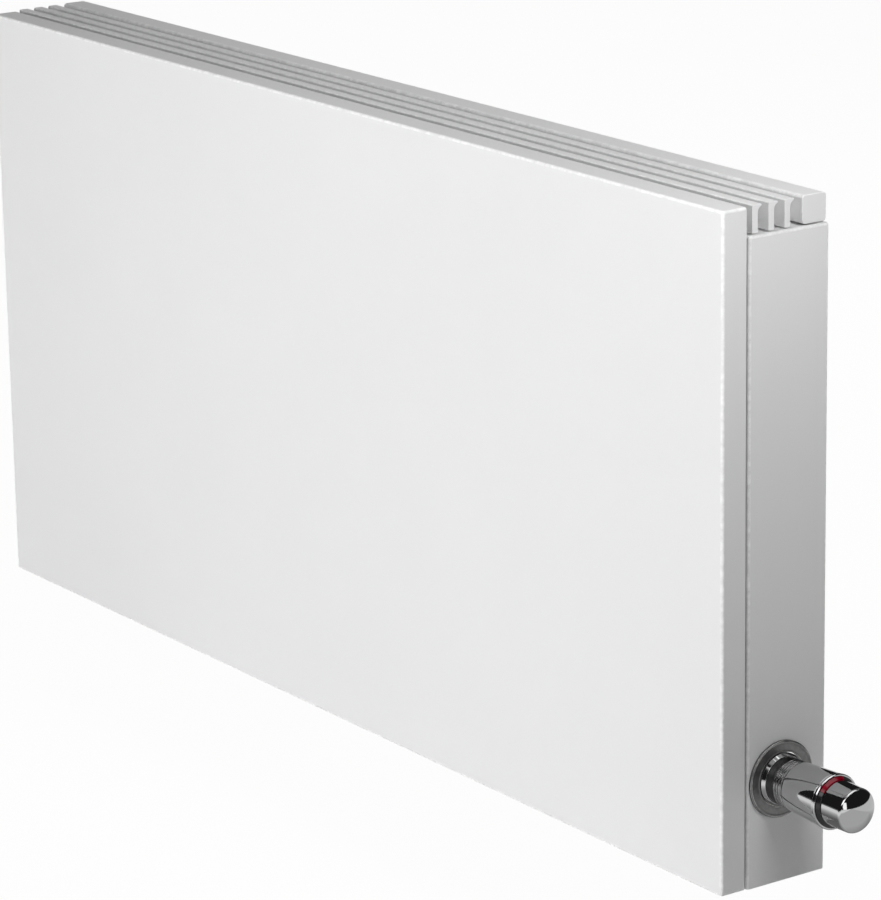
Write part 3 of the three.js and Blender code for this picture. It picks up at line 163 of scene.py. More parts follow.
class ConvectorColours(bpy.types.PropertyGroup):
    """Colours of the finishes."""

    paint: colour("Paint", "Powder coat of the casing", (0.80, 0.80, 0.802))
    chrome: colour("Chrome", "Polished chrome of the thermostatic head", (0.56, 0.562, 0.566))
    dark_chrome: colour("Dark chrome", "Neck of the thermostatic head", (0.23, 0.23, 0.233))
    satin: colour("Satin metal", "Rosette on the side panel", (0.215, 0.215, 0.213))
    lens: colour("Lens", "Setting window in the head's ring", (0.20, 0.0, 0.010))
    copper: colour("Copper", "Water tubes", (0.66, 0.31, 0.18))
    brass: colour("Brass", "Collectors, tailpieces and bonnet", (0.66, 0.47, 0.20))
    nickel: colour("Nickel", "Plated valve bodies and nuts", (0.58, 0.55, 0.49))
    zinc: colour("Zinc", "Galvanised rails and brackets", (0.46, 0.48, 0.50))
    steel: colour("Steel", "Screws, stem and springs", (0.50, 0.51, 0.53))
    aluminium: colour("Aluminium", "Fins and sensor capsule", (0.70, 0.71, 0.73))
    rubber: colour("Rubber", "Pads, disc and seal", (0.022, 0.022, 0.024))
    black: colour("Black plastic", "Ring and liner of the head", (0.012, 0.012, 0.013))
    white: colour("White plastic", "Clips, ties and lockshield cap", (0.72, 0.72, 0.69))


class ConvectorStudio(bpy.types.PropertyGroup):
    """Settings of the floor, the lights and the surroundings."""

    floor_drop: length("Floor drop", "Distance from the casing's lower edge to the floor", 0.15)
    key: power("Key light", "Power of the light in front", 98.0)
    side: power("Side light", "Power of the light over the valve's end", 2.9)
    top: power("Top light", "Power of the light over the grille", 14.0)
    back: power("Back light", "Power of the light behind", 50.0)
    ambient: FloatProperty(
        name="Surroundings", description="Brightness of the surroundings on matt surfaces",
        default=0.10, min=0, max=4,
    )


# ------------------------------------------------------------------ modelling


def choose(piece, *others):
    """Selects only these objects and makes the first one active."""
    bpy.ops.object.select_all(action="DESELECT")
    for each in (piece, *others):
        each.select_set(True)
    bpy.context.view_layer.objects.active = piece


def placed(name, data):
    """A new object in the scene."""
    made = bpy.data.objects.new(name, data)
    bpy.context.scene.collection.objects.link(made)
    return made


@contextmanager
def editing(piece, kind="FACE", action="DESELECT"):
    """Puts one piece in edit mode, with nothing or everything selected."""
    choose(piece)
    bpy.ops.object.mode_set(mode="EDIT")
    bpy.ops.mesh.select_mode(type=kind)
    bpy.ops.mesh.select_all(action=action)
    yield
    bpy.ops.object.mode_set(mode="OBJECT")


def pick(piece, elements, test):
    """Selects the vertices, edges or faces for which test is true."""
    bpy.ops.mesh.select_all(action="DESELECT")
    mesh = bmesh.from_edit_mesh(piece.data)
    for element in getattr(mesh, elements):
        if test(element):
            element.select_set(True)
    mesh.select_flush_mode()
    bmesh.update_edit_mesh(piece.data)


def settle(piece):
    """Puts a piece's place, turn and scale into its mesh."""
    choose(piece)
    bpy.ops.object.transform_apply(location=True, rotation=True, scale=True)


def tidy_normals(piece):
    with editing(piece, "VERT", "SELECT"):
        bpy.ops.mesh.remove_doubles(threshold=MERGE)
        bpy.ops.mesh.normals_make_consistent(inside=False)


def modify(piece, kind, **settings):
    """Adds a modifier and applies it."""
    choose(piece)
    modifier = piece.modifiers.new(kind.title(), kind)
    for name, value in settings.items():
        setattr(modifier, name, value)
    bpy.ops.object.modifier_apply(modifier=modifier.name)


def soften(piece, width, segments=2, angle=30):
    """Rounds every edge sharper than the angle."""
    modify(
        piece, "BEVEL", width=width, segments=segments, limit_method="ANGLE",
        angle_limit=math.radians(angle), miter_outer="MITER_ARC", use_clamp_overlap=True,
    )


def combine(piece, tools, operation):
    """Cuts tools from a piece, joins them to it or keeps what they share, and removes the tools."""
    for tool in tools:
        modify(piece, "BOOLEAN", operation=operation, object=tool, solver="EXACT")
        bpy.data.objects.remove(tool)
    return piece


def cut(piece, *tools):
    return combine(piece, tools, "DIFFERENCE")


def join(piece, *tools):
    return combine(piece, tools, "UNION")


def block(name, low, high):
    low, high = Vector(low), Vector(high)
    bpy.ops.mesh.primitive_cube_add(size=1, location=(low + high) / 2)
    piece = bpy.context.object
    piece.name = name
    piece.scale = high - low
    settle(piece)
    return piece


def drawn(name, points):
    """A chain of edges through the points, drawn by extruding one vertex."""
    bpy.ops.mesh.primitive_plane_add(size=0.001, location=(0, 0, 0))
    piece = bpy.context.object
    piece.name = name
    with editing(piece, "VERT", "SELECT"):
        bpy.ops.mesh.merge(type="CENTER")
        bpy.ops.transform.translate(value=points[0])
        for start, end in zip(points, points[1:]):
            bpy.ops.mesh.extrude_vertices_move(TRANSFORM_OT_translate={"value": end - start})
    return piece


def turned(name, profile, centre, along=ALONG_X, facets=64, angle=2 * math.pi, start=0.0):
    """Spins a profile of (along, radius) points about the line through centre."""
    outwards = ALONG_Z if along != ALONG_Z else ALONG_X
    outwards = Matrix.Rotation(start, 3, along) @ outwards
    centre = Vector(centre)
    points = [centre + along * a + outwards * r for a, r in profile]
    piece = drawn(name, points)
    with editing(piece, "VERT", "SELECT"):
        bpy.ops.mesh.spin(steps=facets, angle=-angle, center=centre, axis=along)
        bpy.ops.mesh.select_all(action="SELECT")
        bpy.ops.mesh.remove_doubles(threshold=MERGE)
        bpy.ops.mesh.delete_loose(use_verts=True, use_edges=True, use_faces=False)
        bpy.ops.mesh.select_all(action="SELECT")
        if angle < 2 * math.pi:
            bpy.ops.mesh.fill_holes(sides=0)
    tidy_normals(piece)
    return piece


def pulled(name, outline, low_x, high_x):
    """Pulls an outline of (y, z) points along X."""
    points = [Vector((low_x, y, z)) for y, z in outline]
    piece = drawn(name, points + points[:1])
    with editing(piece, "VERT", "SELECT"):
        bpy.ops.mesh.remove_doubles(threshold=MERGE)
        bpy.ops.mesh.edge_face_add()
        bpy.ops.mesh.extrude_region_move(
            TRANSFORM_OT_translate={"value": (high_x - low_x, 0, 0)}
        )
    tidy_normals(piece)
    return piece


def arc(centre, radius, start, end, steps):
    """Points of an arc in the plane of a profile, with angles in degrees."""
    turns = [math.radians(start + (end - start) * i / steps) for i in range(steps + 1)]
    return [(centre[0] + radius * math.cos(t), centre[1] + radius * math.sin(t)) for t in turns]


def rod(start, end, radius):
    """Profile of a solid bar."""
    return [(start, 0), (start, radius), (end, radius), (end, 0)]


def refined(node, bevel):
    """A copy of a CAD node with its triangles merged into faces and its edges rounded."""
    piece = placed(f"{node}_piece", frame["nodes"][node].data.copy())
    with editing(piece, "VERT", "SELECT"):
        bpy.ops.mesh.remove_doubles(threshold=MERGE)
        bpy.ops.mesh.dissolve_limited(angle_limit=math.radians(1))
    soften(piece, bevel)
    return piece


# ------------------------------------------------------------------ finishes


def feed(tree, socket, value):
    """Links a socket to another node's output, or gives it a value."""
    if isinstance(value, bpy.types.NodeSocket):
        tree.links.new(value, socket)
    elif socket.type == "RGBA":
        socket.default_value = (*value[:3], 1.0)
    else:
        socket.default_value = value


def add(tree, kind, inputs=None, **settings):
    """Adds a node, sets it and fills its sockets with values or with other nodes' outputs."""
    made = tree.nodes.new(kind)
    for name, value in settings.items():
        setattr(made, name, value)
    for name, value in (inputs or {}).items():
        feed(tree, made.inputs[name], value)
    return made


def maths(tree, operation, first, second=0.0, clamp=False):
    made = add(
        tree, "ShaderNodeMath", {0: first, 1: second}, operation=operation, use_clamp=clamp
    )
    return made.outputs[0]


def ramp(tree, value, low, high, first=0.0, last=1.0):
    """Runs from first to last while the value runs from low to high, and no further."""
    return add(tree, "ShaderNodeMapRange", {
        "Value": value, "From Min": low, "From Max": high, "To Min": first, "To Max": last,
    }).outputs["Result"]


def noise(tree, vector, scale, detail, roughness):
    return add(tree, "ShaderNodeTexNoise", {
        "Vector": vector, "Scale": scale, "Detail": detail, "Roughness": roughness,
    }).outputs["Fac"]


def mix_shaders(tree, factor, first, second):
    """The first shader where the factor is 0 and the second where it is 1."""
    return add(tree, "ShaderNodeMixShader", {
        0: factor, 1: first.outputs[0], 2: second.outputs[0],
    })


def new_group(name, inputs, outputs):
    """Starts a node group. An input whose default isn't a number is a vector."""
    tree = bpy.data.node_groups.new(name, "ShaderNodeTree")
    for label, default in inputs.items():
        kind = "NodeSocketFloat" if isinstance(default, float) else "NodeSocketVector"
        socket = tree.interface.new_socket(label, in_out="INPUT", socket_type=kind)
        if default is not None:
            socket.default_value = default
    for label in outputs:
        tree.interface.new_socket(label, in_out="OUTPUT", socket_type="NodeSocketFloat")
    return tree, tree.nodes.new("NodeGroupInput").outputs, tree.nodes.new("NodeGroupOutput").inputs


def grain_group():
    """Fine uneven grain: a height, and a mask of larger cloudy patches."""
    tree, given, result = new_group(
        "Grain", {"Vector": None, "Grain": 800.0, "Patches": 6.0}, ("Height", "Mask")
    )
    feed(tree, result["Height"], noise(tree, given["Vector"], given["Grain"], 3.0, 0.55))
    cloudy = noise(tree, given["Vector"], given["Patches"], 5.0, 0.6)
    feed(tree, result["Mask"], ramp(tree, cloudy, 0.32, 0.68))
    return tree


def lines_group():
    """Fine lines that run along one direction, as rolling, drawing or turning leaves them."""
    tree, given, result = new_group(
        "Machined lines", {"Vector": None, "Stretch": (1.0, 1.0, 1.0)}, ("Height", "Mask")
    )
    stretched = add(
        tree, "ShaderNodeVectorMath", {0: given["Vector"], 1: given["Stretch"]},
        operation="MULTIPLY",
    ).outputs[0]
    feed(tree, result["Height"], noise(tree, stretched, 1.0, 4.0, 0.7))
    broad = noise(tree, stretched, 0.21, 2.0, 0.5)
    feed(tree, result["Mask"], ramp(tree, broad, 0.35, 0.65))
    return tree


def wear_and_highlight_group():
    """Rubbed edges and painted edge highlights: a mask from the piece's edge marks, broken up by
    noise.
    """
    tree, given, result = new_group(
        "Edge wear", {"Vector": None, "Edge": 0.0, "Amount": 0.5}, ("Mask",)
    )
    patchy = ramp(tree, noise(tree, given["Vector"], 140.0, 4.0, 0.65), 0.38, 0.62)
    edge = maths(tree, "MULTIPLY", given["Edge"], patchy)
    feed(tree, result["Mask"], maths(tree, "MULTIPLY", edge, given["Amount"], clamp=True))
    return tree


def dust_group():
    """Dust that settles on upward faces: a mask."""
    tree, given, result = new_group(
        "Dust", {"Vector": None, "Normal": None, "Amount": 0.3}, ("Mask",)
    )
    up = add(tree, "ShaderNodeSeparateXYZ", {0: given["Normal"]}).outputs["Z"]
    uneven = ramp(tree, noise(tree, given["Vector"], 420.0, 6.0, 0.7), 0.35, 0.75)
    settled = maths(tree, "MULTIPLY", ramp(tree, up, 0.55, 0.98), uneven)
    feed(tree, result["Mask"], maths(tree, "MULTIPLY", settled, given["Amount"], clamp=True))
    return tree


GROUP_MAKERS = {
    "grain": grain_group, "lines": lines_group, "wear": wear_and_highlight_group, "dust": dust_group,
}
GROUPS = {}
FINISHES = {}


class Surface:
    """A material under construction, with the sockets that most finishes need."""

    def __init__(self, name):
        self.material = bpy.data.materials.new(name)
        self.material.use_nodes = True
        self.tree = self.material.node_tree
        self.shader = self.tree.nodes["Principled BSDF"]
        places = self.tree.nodes.new("ShaderNodeTexCoord").outputs
        self.place, self.facing = places["Object"], places["Normal"]
        self.edge = add(self.tree, "ShaderNodeAttribute", attribute_name="edge").outputs["Fac"]

    def set(self, **values):
        for name, value in values.items():
            label = name.replace("_", " ").title().replace("Ior", "IOR")
            feed(self.tree, self.shader.inputs[label], value)

    def group(self, kind, **inputs):
        """A node group, made the first time it is asked for."""
        if kind not in GROUPS:
            GROUPS[kind] = GROUP_MAKERS[kind]()
        inputs.setdefault("Vector", self.place)
        return add(self.tree, "ShaderNodeGroup", inputs, node_tree=GROUPS[kind]).outputs

    def dust(self, amount):
        return self.group("dust", Normal=self.facing, Amount=amount)["Mask"]

    def blend(self, factor, first, second):
        """The first colour where the factor is 0 and the second where it is 1."""
        return add(
            self.tree, "ShaderNodeMix", {0: factor, 6: first, 7: second}, data_type="RGBA"
        ).outputs[2]

    def vary(self, mask, hue, low, high):
        """A colour that a mask makes darker or brighter."""
        return self.blend(mask, [c * low for c in hue], [c * high for c in hue])

    def edge_wear_and_highlight(self, amount, shade, edge_tone):
        """A colour that turns to the edge tone on marked edges: bare material on rubbed edges in
        some finishes, a painted highlight in others.
        """
        mask = self.group("wear", Edge=self.edge, Amount=amount)["Mask"]
        return self.blend(mask, shade, edge_tone)

    def rough(self, mask, low, high):
        """Roughness that runs from low to high with a mask."""
        self.set(roughness=ramp(self.tree, mask, 0.0, 1.0, low, high))

    def bump(self, height, distance, strength):
        made = add(self.tree, "ShaderNodeBump", {
            "Height": height, "Distance": distance, "Strength": strength,
        })
        self.set(normal=made.outputs["Normal"])

    def maths(self, operation, first, second):
        return maths(self.tree, operation, first, second)

    def blended(self, first, share, second, other):
        """The sum of two masks, each with its share, and at most 1."""
        first, second = self.maths("MULTIPLY", first, share), self.maths("MULTIPLY", second, other)
        return maths(self.tree, "ADD", first, second, clamp=True)

    def centred(self, centre):
        """Object coordinates measured from a point."""
        return add(self.tree, "ShaderNodeMapping", {
            "Vector": self.place, "Location": -Vector(centre),
        }).outputs["Vector"]


def paint(hue):
    """Satin powder coat: faint orange peel, lighter on the edges as thinner coat and as a painted
    highlight, with a little dust on top.
    """
    s = Surface("Satin powder coat")
    grain, dust = s.group("grain", Grain=620.0, Patches=3.0), s.dust(0.16)
    # The edges turn a lighter grey: partly thinner coat, partly a painted highlight.
    shade = s.edge_wear_and_highlight(0.9, s.vary(grain["Mask"], hue, 0.985, 1.01), (0.95, 0.95, 0.95))
    s.set(base_color=s.blend(dust, shade, (0.62, 0.61, 0.59)), specular_ior_level=0.45)
    s.rough(s.blended(grain["Mask"], 0.5, dust, 2.0), 0.42, 0.54)
    s.bump(grain["Height"], 0.00003, 0.5)
    return s.material


def chrome(hue):
    """Polished chrome: a mirror with faint wiping marks."""
    s = Surface("Polished chrome")
    grain = s.group("grain", Grain=2600.0, Patches=55.0)
    s.set(base_color=s.edge_wear_and_highlight(0.3, hue, (0.78, 0.78, 0.78)), metallic=1.0)
    s.rough(s.maths("MULTIPLY", grain["Mask"], grain["Height"]), 0.035, 0.10)
    s.bump(grain["Height"], 0.000002, 0.3)
    return s.material


def dark_chrome(hue):
    """Darker plated neck with turning marks round it."""
    s = Surface("Dark chrome")
    lines = s.group("lines", Vector=s.centred(VALVE_AXIS), Stretch=(5200.0, 30.0, 30.0))
    # The ribs and the other edges turn a lighter grey: a painted highlight.
    shade = s.edge_wear_and_highlight(0.8, s.vary(lines["Mask"], hue, 0.9, 1.1), (0.75, 0.75, 0.75))
    s.set(base_color=shade, metallic=1.0)
    s.rough(lines["Mask"], 0.10, 0.20)
    s.bump(lines["Height"], 0.000004, 0.5)
    return s.material


def satin_metal(hue):
    """Pressed rosette: satin grey with circular lines and a faint cast mottle."""
    s = Surface("Satin grey metal")
    parts = add(s.tree, "ShaderNodeSeparateXYZ", {0: s.centred(VALVE_AXIS)}).outputs
    across, up = s.maths("POWER", parts["Y"], 2.0), s.maths("POWER", parts["Z"], 2.0)
    radius = s.maths("SQRT", s.maths("ADD", across, up), 0.0)
    rings = add(s.tree, "ShaderNodeCombineXYZ", {"X": radius, "Y": parts["X"]}).outputs[0]
    lines = s.group("lines", Vector=rings, Stretch=(3600.0, 900.0, 0.0))
    grain = s.group("grain", Grain=900.0, Patches=260.0)
    # The rim and the other edges turn a lighter grey: a painted highlight.
    shade = s.edge_wear_and_highlight(0.9, s.vary(grain["Mask"], hue, 0.85, 1.15), (0.80, 0.80, 0.79))
    s.set(base_color=shade, metallic=1.0)
    s.rough(lines["Mask"], 0.32, 0.46)
    s.bump(s.maths("ADD", lines["Height"], grain["Height"]), 0.00003, 0.5)
    return s.material


METAL_DUST = (0.35, 0.34, 0.32)


def metal(name, hue, low, high, stretch=(300.0, 300.0, 300.0), depth=0.00001, tarnish=None,
          patches=40.0, dusty=0.1):
    """A metal with fine lines, cloudy tarnish, rubbed edges and a little dust."""
    s = Surface(name)
    lines = s.group("lines", Stretch=stretch)
    grain = s.group("grain", Grain=700.0, Patches=patches)
    shade = s.blend(grain["Mask"], hue, tarnish or [c * 0.8 for c in hue])
    shade = s.edge_wear_and_highlight(0.6, shade, [min(1.0, c * 1.25 + 0.05) for c in hue])
    s.set(base_color=s.blend(s.dust(dusty), shade, METAL_DUST), metallic=1.0)
    s.rough(s.blended(lines["Mask"], 0.5, grain["Mask"], 0.5), low, high)
    s.bump(lines["Height"], depth, 0.6)
    return s.material


def zinc(hue):
    """Galvanised sheet: flat crystals of differing brightness."""
    s = Surface("Galvanised sheet")
    crystals = add(s.tree, "ShaderNodeTexVoronoi", {
        "Vector": s.place, "Scale": 150.0, "Randomness": 1.0,
    }).outputs["Color"]
    tone = add(s.tree, "ShaderNodeSeparateColor", {0: crystals}).outputs[0]
    grain = s.group("grain", Grain=900.0, Patches=9.0)
    shade = s.edge_wear_and_highlight(0.7, s.vary(tone, hue, 0.82, 1.18), (0.62, 0.63, 0.65))
    s.set(base_color=s.blend(s.dust(0.25), shade, METAL_DUST), metallic=1.0)
    s.rough(s.blended(tone, 0.6, grain["Mask"], 0.4), 0.30, 0.50)
    s.bump(grain["Height"], 0.00001, 0.4)
    return s.material


def plastic(name, hue, low, high):
    """Moulded plastic with a fine eroded grain."""
    s = Surface(name)
    grain = s.group("grain", Grain=1500.0, Patches=30.0)
    shade = s.vary(grain["Mask"], hue, 0.94, 1.04)
    shade = s.edge_wear_and_highlight(0.4, shade, [min(1.0, c * 1.3 + 0.02) for c in hue])
    s.set(base_color=s.blend(s.dust(0.12), shade, (0.5, 0.49, 0.47)))
    s.rough(grain["Mask"], low, high)
    s.bump(grain["Height"], 0.00001, 0.4)
    return s.material


def red_lens(hue):
    """Clear red window: deep colour under a hard gloss."""
    s = Surface("Red lens")
    grain = s.group("grain", Grain=1200.0, Patches=220.0)
    shade = s.vary(grain["Mask"], hue, 0.6, 1.3)
    s.set(base_color=shade, coat_weight=0.25, coat_roughness=0.03, specular_ior_level=0.3)
    s.rough(grain["Mask"], 0.10, 0.22)
    s.bump(grain["Height"], 0.00002, 0.4)
    return s.material


def finish(slot):
    """The finish of a material slot, made the first time it is asked for."""
    hues = bpy.context.scene.convector_colours
    makers = {
        "paint": lambda: paint(hues.paint),
        "chrome": lambda: chrome(hues.chrome),
        "dark_metal": lambda: dark_chrome(hues.dark_chrome),
        "satin_metal": lambda: satin_metal(hues.satin),
        "galvanised": lambda: zinc(hues.zinc),
        "red_lens": lambda: red_lens(hues.lens),
        "steel": lambda: metal("Bright zinc", hues.steel, 0.22, 0.38),
        "nickel": lambda: metal("Nickel plate", hues.nickel, 0.16, 0.34, depth=0.00002),
        "brass": lambda: metal(
            "Cast brass", hues.brass, 0.30, 0.5, depth=0.00005, tarnish=(0.42, 0.26, 0.10)
        ),
        "copper": lambda: metal(
            "Drawn copper", hues.copper, 0.22, 0.42, stretch=(12.0, 2400.0, 2400.0),
            tarnish=(0.36, 0.15, 0.08), patches=25.0,
        ),
        "aluminium": lambda: metal(
            "Rolled aluminium", hues.aluminium, 0.28, 0.42, stretch=(900.0, 900.0, 12.0),
            patches=15.0, dusty=0.3,
        ),
        "rubber": lambda: plastic("Rubber", hues.rubber, 0.6, 0.85),
        "black_plastic": lambda: plastic("Black plastic", hues.black, 0.08, 0.16),
        "white_plastic": lambda: plastic("White plastic", hues.white, 0.38, 0.55),
    }
    if slot not in FINISHES:
        FINISHES[slot] = makers[slot]()
    return FINISHES[slot]


def slot_of(node):
    """The record's material slot of a CAD node."""
    return next(p["material_slot"] for p in frame["record"]["subparts"] if p["node"] == node)


def body_of(node):
    return next(b for b, nodes in frame["record"]["behaviour"]["bodies"].items() if node in nodes)


def coat(node):
    """Gives a carried-over CAD node its finish."""
    mesh = frame["nodes"][node].data
    mesh.materials.clear()
    mesh.materials.append(finish(slot_of(node)))


EDGE_WIDTH, EDGE_BEND = 1.3 * MM, math.radians(10)


def mark_edges(piece):
    """Marks the narrow faces along rounded and sharp edges, for the rubbed edges and the painted
    edge highlights in the finishes.
    """
    mesh = bmesh.new()
    mesh.from_mesh(piece.data)
    mesh.normal_update()
    marks = []
    for face in mesh.faces:
        width = face.calc_area() / max(edge.calc_length() for edge in face.edges)
        bend = max(edge.calc_face_angle(0.0) for edge in face.edges)
        marks.append(1.0 if width < EDGE_WIDTH and bend > EDGE_BEND else 0.0)
    mesh.free()
    attribute = piece.data.attributes.new("edge", "FLOAT", "FACE")
    attribute.data.foreach_set("value", marks)


def stand_in(piece, node, smooth=35):
    """Finishes a piece that takes the place, the body and the slot of one CAD node."""
    tidy_normals(piece)
    choose(piece)
    bpy.ops.object.shade_smooth_by_angle(angle=math.radians(smooth))
    modify(piece, "WEIGHTED_NORMAL", keep_sharp=True, weight=100)
    mark_edges(piece)
    piece.data.materials.clear()
    piece.data.materials.append(finish(slot_of(node)))
    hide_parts(node)
    piece.name = piece.data.name = f"{node}_piece"
    slot_of(node)
    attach(piece, body_of(node))


# ------------------------------------------------------------------ profiles and shared shapes


def filleted(points, steps=4):
    """Rounds the corners of an outline whose points carry a third number, their radius."""
    made = []
    for i, point in enumerate(points):
        here = Vector(point[:2])
        if len(point) < 3:
            made.append(here)
            continue
        back = (Vector(points[i - 1][:2]) - here).normalized()
        on = (Vector(points[(i + 1) % len(points)][:2]) - here).normalized()
        half = back.angle(on) / 2
        centre = here + (back + on).normalized() * (point[2] / math.sin(half))
        start = here + back * (point[2] / math.tan(half)) - centre
        end = here + on * (point[2] / math.tan(half)) - centre
        turn = math.atan2(end.y, end.x) - math.atan2(start.y, start.x)
        turn = (turn + math.pi) % (2 * math.pi) - math.pi
        made += [centre + Matrix.Rotation(turn * s / steps, 2) @ start for s in range(steps + 1)]
    return made


def spun(name, profile, centre, along=ALONG_X, **settings):
    """A turned piece whose profile is in millimetres from the centre."""
    points = [(point[0] * MM, point[1] * MM) for point in filleted(profile)]
    return turned(name, points, centre, along, **settings)


def fitting(name, profile, facets=72):
    """A turned piece on the valve's axis, in millimetres along X."""
    return spun(name, profile, VALVE_AXIS, facets=facets)


def hexagon(name, start, end, flats, centre, along=ALONG_X, chamfer=1.2):
    """A hexagonal bar in millimetres, its corners turned off at both ends and pointing along Y."""
    corner = flats / 2 / math.cos(math.pi / 6)
    tilt = math.pi / 6 if along == ALONG_X else 0.0
    bar = spun(name, rod(start, end, corner), centre, along, facets=6, start=tilt)
    flat, past = flats / 2 * 0.97, corner + 0.4
    shape = [(start - 0.2, 0), (start - 0.2, flat - 0.2), (start + chamfer, past),
             (end - chamfer, past), (end + 0.2, flat - 0.2), (end + 0.2, 0)]
    turned_off = spun("turned_off", shape, centre, along, facets=90, start=0.01)
    return combine(bar, [turned_off], "INTERSECT")


def together(piece, *others):
    """Joins pieces into one object without changing their shapes."""
    choose(piece, *others)
    bpy.ops.object.join()
    return piece


def copied(piece, name, shift=(0, 0, 0), mirror=False):
    """A copy with its own mesh, moved or mirrored across X."""
    made = placed(name, piece.data.copy())
    if mirror:
        made.scale.x = -1
        settle(made)
    with editing(made, "VERT", "SELECT"):
        bpy.ops.transform.translate(value=shift)
    tidy_normals(made)
    return made


# ------------------------------------------------------------------ casing


def lies_on(edge, axis, *places):
    """True for an edge whose two ends both lie on one of the places along an axis."""
    return all(
        any(abs(vertex.co[axis] - place) < 1e-5 for place in places) for vertex in edge.verts
    )


def runs_along(edge, axis):
    across = edge.verts[0].co - edge.verts[1].co
    return abs(abs(across[axis]) - across.length) < 1e-6


def make_front_panel(sizes):
    low = Vector(PANEL_LOW)
    high = Vector((PANEL_HIGH.x, SIDE_LOW.y - PANEL_GAP, PANEL_HIGH.z))
    piece = block("front_panel_shell", low, high)
    with editing(piece, "EDGE"):
        pick(piece, "edges", lambda e: lies_on(e, 1, low.y) or runs_along(e, 1))
        bpy.ops.mesh.bevel(offset=sizes.bend, segments=6, affect="EDGES")
        pick(piece, "edges", lambda e: (
            lies_on(e, 1, high.y) and lies_on(e, 2, low.z) and runs_along(e, 0)
        ))
        bpy.ops.mesh.bevel(offset=sizes.foot, segments=6, affect="EDGES")
    sheet = Vector((1, 1, 1)) * sizes.sheet
    hollow = block("hollow", low + sheet, high - sheet)
    soften(hollow, sizes.bend - sizes.sheet, 3)
    lip = Vector((sizes.lip, 0, sizes.lip))
    mouth = block(
        "mouth", low + lip + ALONG_Y * (high.y - low.y - 2 * sizes.sheet),
        high - lip + ALONG_Y * sizes.sheet,
    )
    with editing(mouth, "EDGE"):
        pick(mouth, "edges", lambda e: runs_along(e, 1))
        bpy.ops.mesh.bevel(offset=sizes.bend, segments=4, affect="EDGES")
    cut(piece, hollow, mouth)
    studs = []
    for x in (-CLIP_X, CLIP_X):
        for z in CLIP_HEIGHTS:
            place = (x * MM, high.y, z * MM)
            ball = arc((8, 0), 3, 143, 0, 8)
            shape = [(-1.5, 0), (-1.5, 4.5), (0.5, 4.5, 0.3), (0.8, 1.8, 0.2), *ball]
            studs.append(spun("stud", shape, place, ALONG_Y, facets=28))
    return together(piece, *studs)


def make_side_panel(sizes):
    """The right side panel, without the hole for the valve."""
    low, high = SIDE_LOW, SIDE_HIGH
    piece = block("side_panel_shell", low, high)
    with editing(piece, "EDGE"):
        pick(piece, "edges", lambda e: (
            (lies_on(e, 0, high.x) and not lies_on(e, 2, low.z))
            or (lies_on(e, 2, high.z) and runs_along(e, 0))
        ))
        bpy.ops.mesh.bevel(offset=sizes.bend, segments=6, affect="EDGES")
    with editing(piece):
        pick(piece, "faces", lambda f: f.normal.x < -0.99 or f.normal.z < -0.99)
        bpy.ops.mesh.delete(type="FACE")
    modify(piece, "SOLIDIFY", thickness=sizes.sheet, offset=-1, use_even_offset=True, use_rim=True)
    tools = []
    for z in CLIP_HEIGHTS:
        place = (CLIP_X * MM, low.y, z * MM)
        tools.append(spun("clip_hole", rod(-1, 3, CLIP_HOLE), place, ALONG_Y, facets=32))
    for z in SCREW_HEIGHTS:
        place = (SCREW_X * MM, high.y, z * MM)
        tools.append(spun("screw_hole", rod(-3, 1, SCREW_HOLE), place, ALONG_Y, facets=24))
    return cut(piece, *tools)


def crossed(place, reach, half, start, end):
    """Two crossed bars in millimetres from a place, from start to end along Y."""
    return [
        block("bar", place - Vector((x, -start, z)) * MM, place + Vector((x, end, z)) * MM)
        for x, z in ((reach, half), (half, reach))
    ]


def make_clip():
    """A snap clip for one stud, in the right side panel's upper hole."""
    shape = [
        (-1.5, 3.45), (-1.5, 6.55, 0.4), (-0.3, 6.55, 0.2), (-0.3, 4.95), (1.8, 4.95),
        (2.3, 5.75, 0.3), (9, 4.2, 0.3), (9, 3.45), (-1.5, 3.45),
    ]
    place = Vector((CLIP_X * MM, SIDE_LOW.y, CLIP_HEIGHTS[1] * MM))
    piece = spun("clip", shape, place, ALONG_Y, facets=48)
    return cut(piece, *crossed(place, 7, 0.5, 2.6, 10))


def make_screw():
    """A casing screw with a crossed recess, in the right side panel's upper hole."""
    place = Vector((SCREW_X, -3.8, SCREW_HEIGHTS[1])) * MM
    shape = [
        (-2.2, 0), (-2.2, 2.2, 0.6), (-1.3, 3.8, 0.6), (0, 4.2, 0.3), (0, 1.8), (3.5, 1.8),
        (3.5, 0),
    ]
    piece = spun("screw", shape, place, ALONG_Y, facets=40)
    return cut(piece, *crossed(place, 2.2, 0.35, -3, -1))


class CONVECTOR_OT_casing(bpy.types.Operator):
    """Model the front panel, the side panels, their clips and their screws"""

    bl_idname = "convector.casing"
    bl_label = "Casing"

    def execute(self, context):
        sizes = context.scene.convector_casing
        stand_in(make_front_panel(sizes), "front_panel")
        right = make_side_panel(sizes)
        left = copied(right, "side_panel_left_shell", mirror=True)
        cut(right, spun("valve_hole", rod(-3, 1, VALVE_HOLE), VALVE_FACE, facets=96))
        stand_in(right, "side_panel_right")
        stand_in(left, "side_panel_left")
        for piece, names, x, (low, high) in (
            (make_clip(), "panel_clip", CLIP_X, CLIP_HEIGHTS),
            (make_screw(), "casing_screw", SCREW_X, SCREW_HEIGHTS),
        ):
            shifts = ((-2 * x, low - high), (-2 * x, 0), (0, low - high), (0, 0))
            for number, (along, up) in enumerate(shifts, start=1):
                made = copied(piece, "copy", Vector((along, 0, up)) * MM)
                stand_in(made, f"{names}_{number}")
            bpy.data.objects.remove(piece)
        return {"FINISHED"}


# ------------------------------------------------------------------ grille


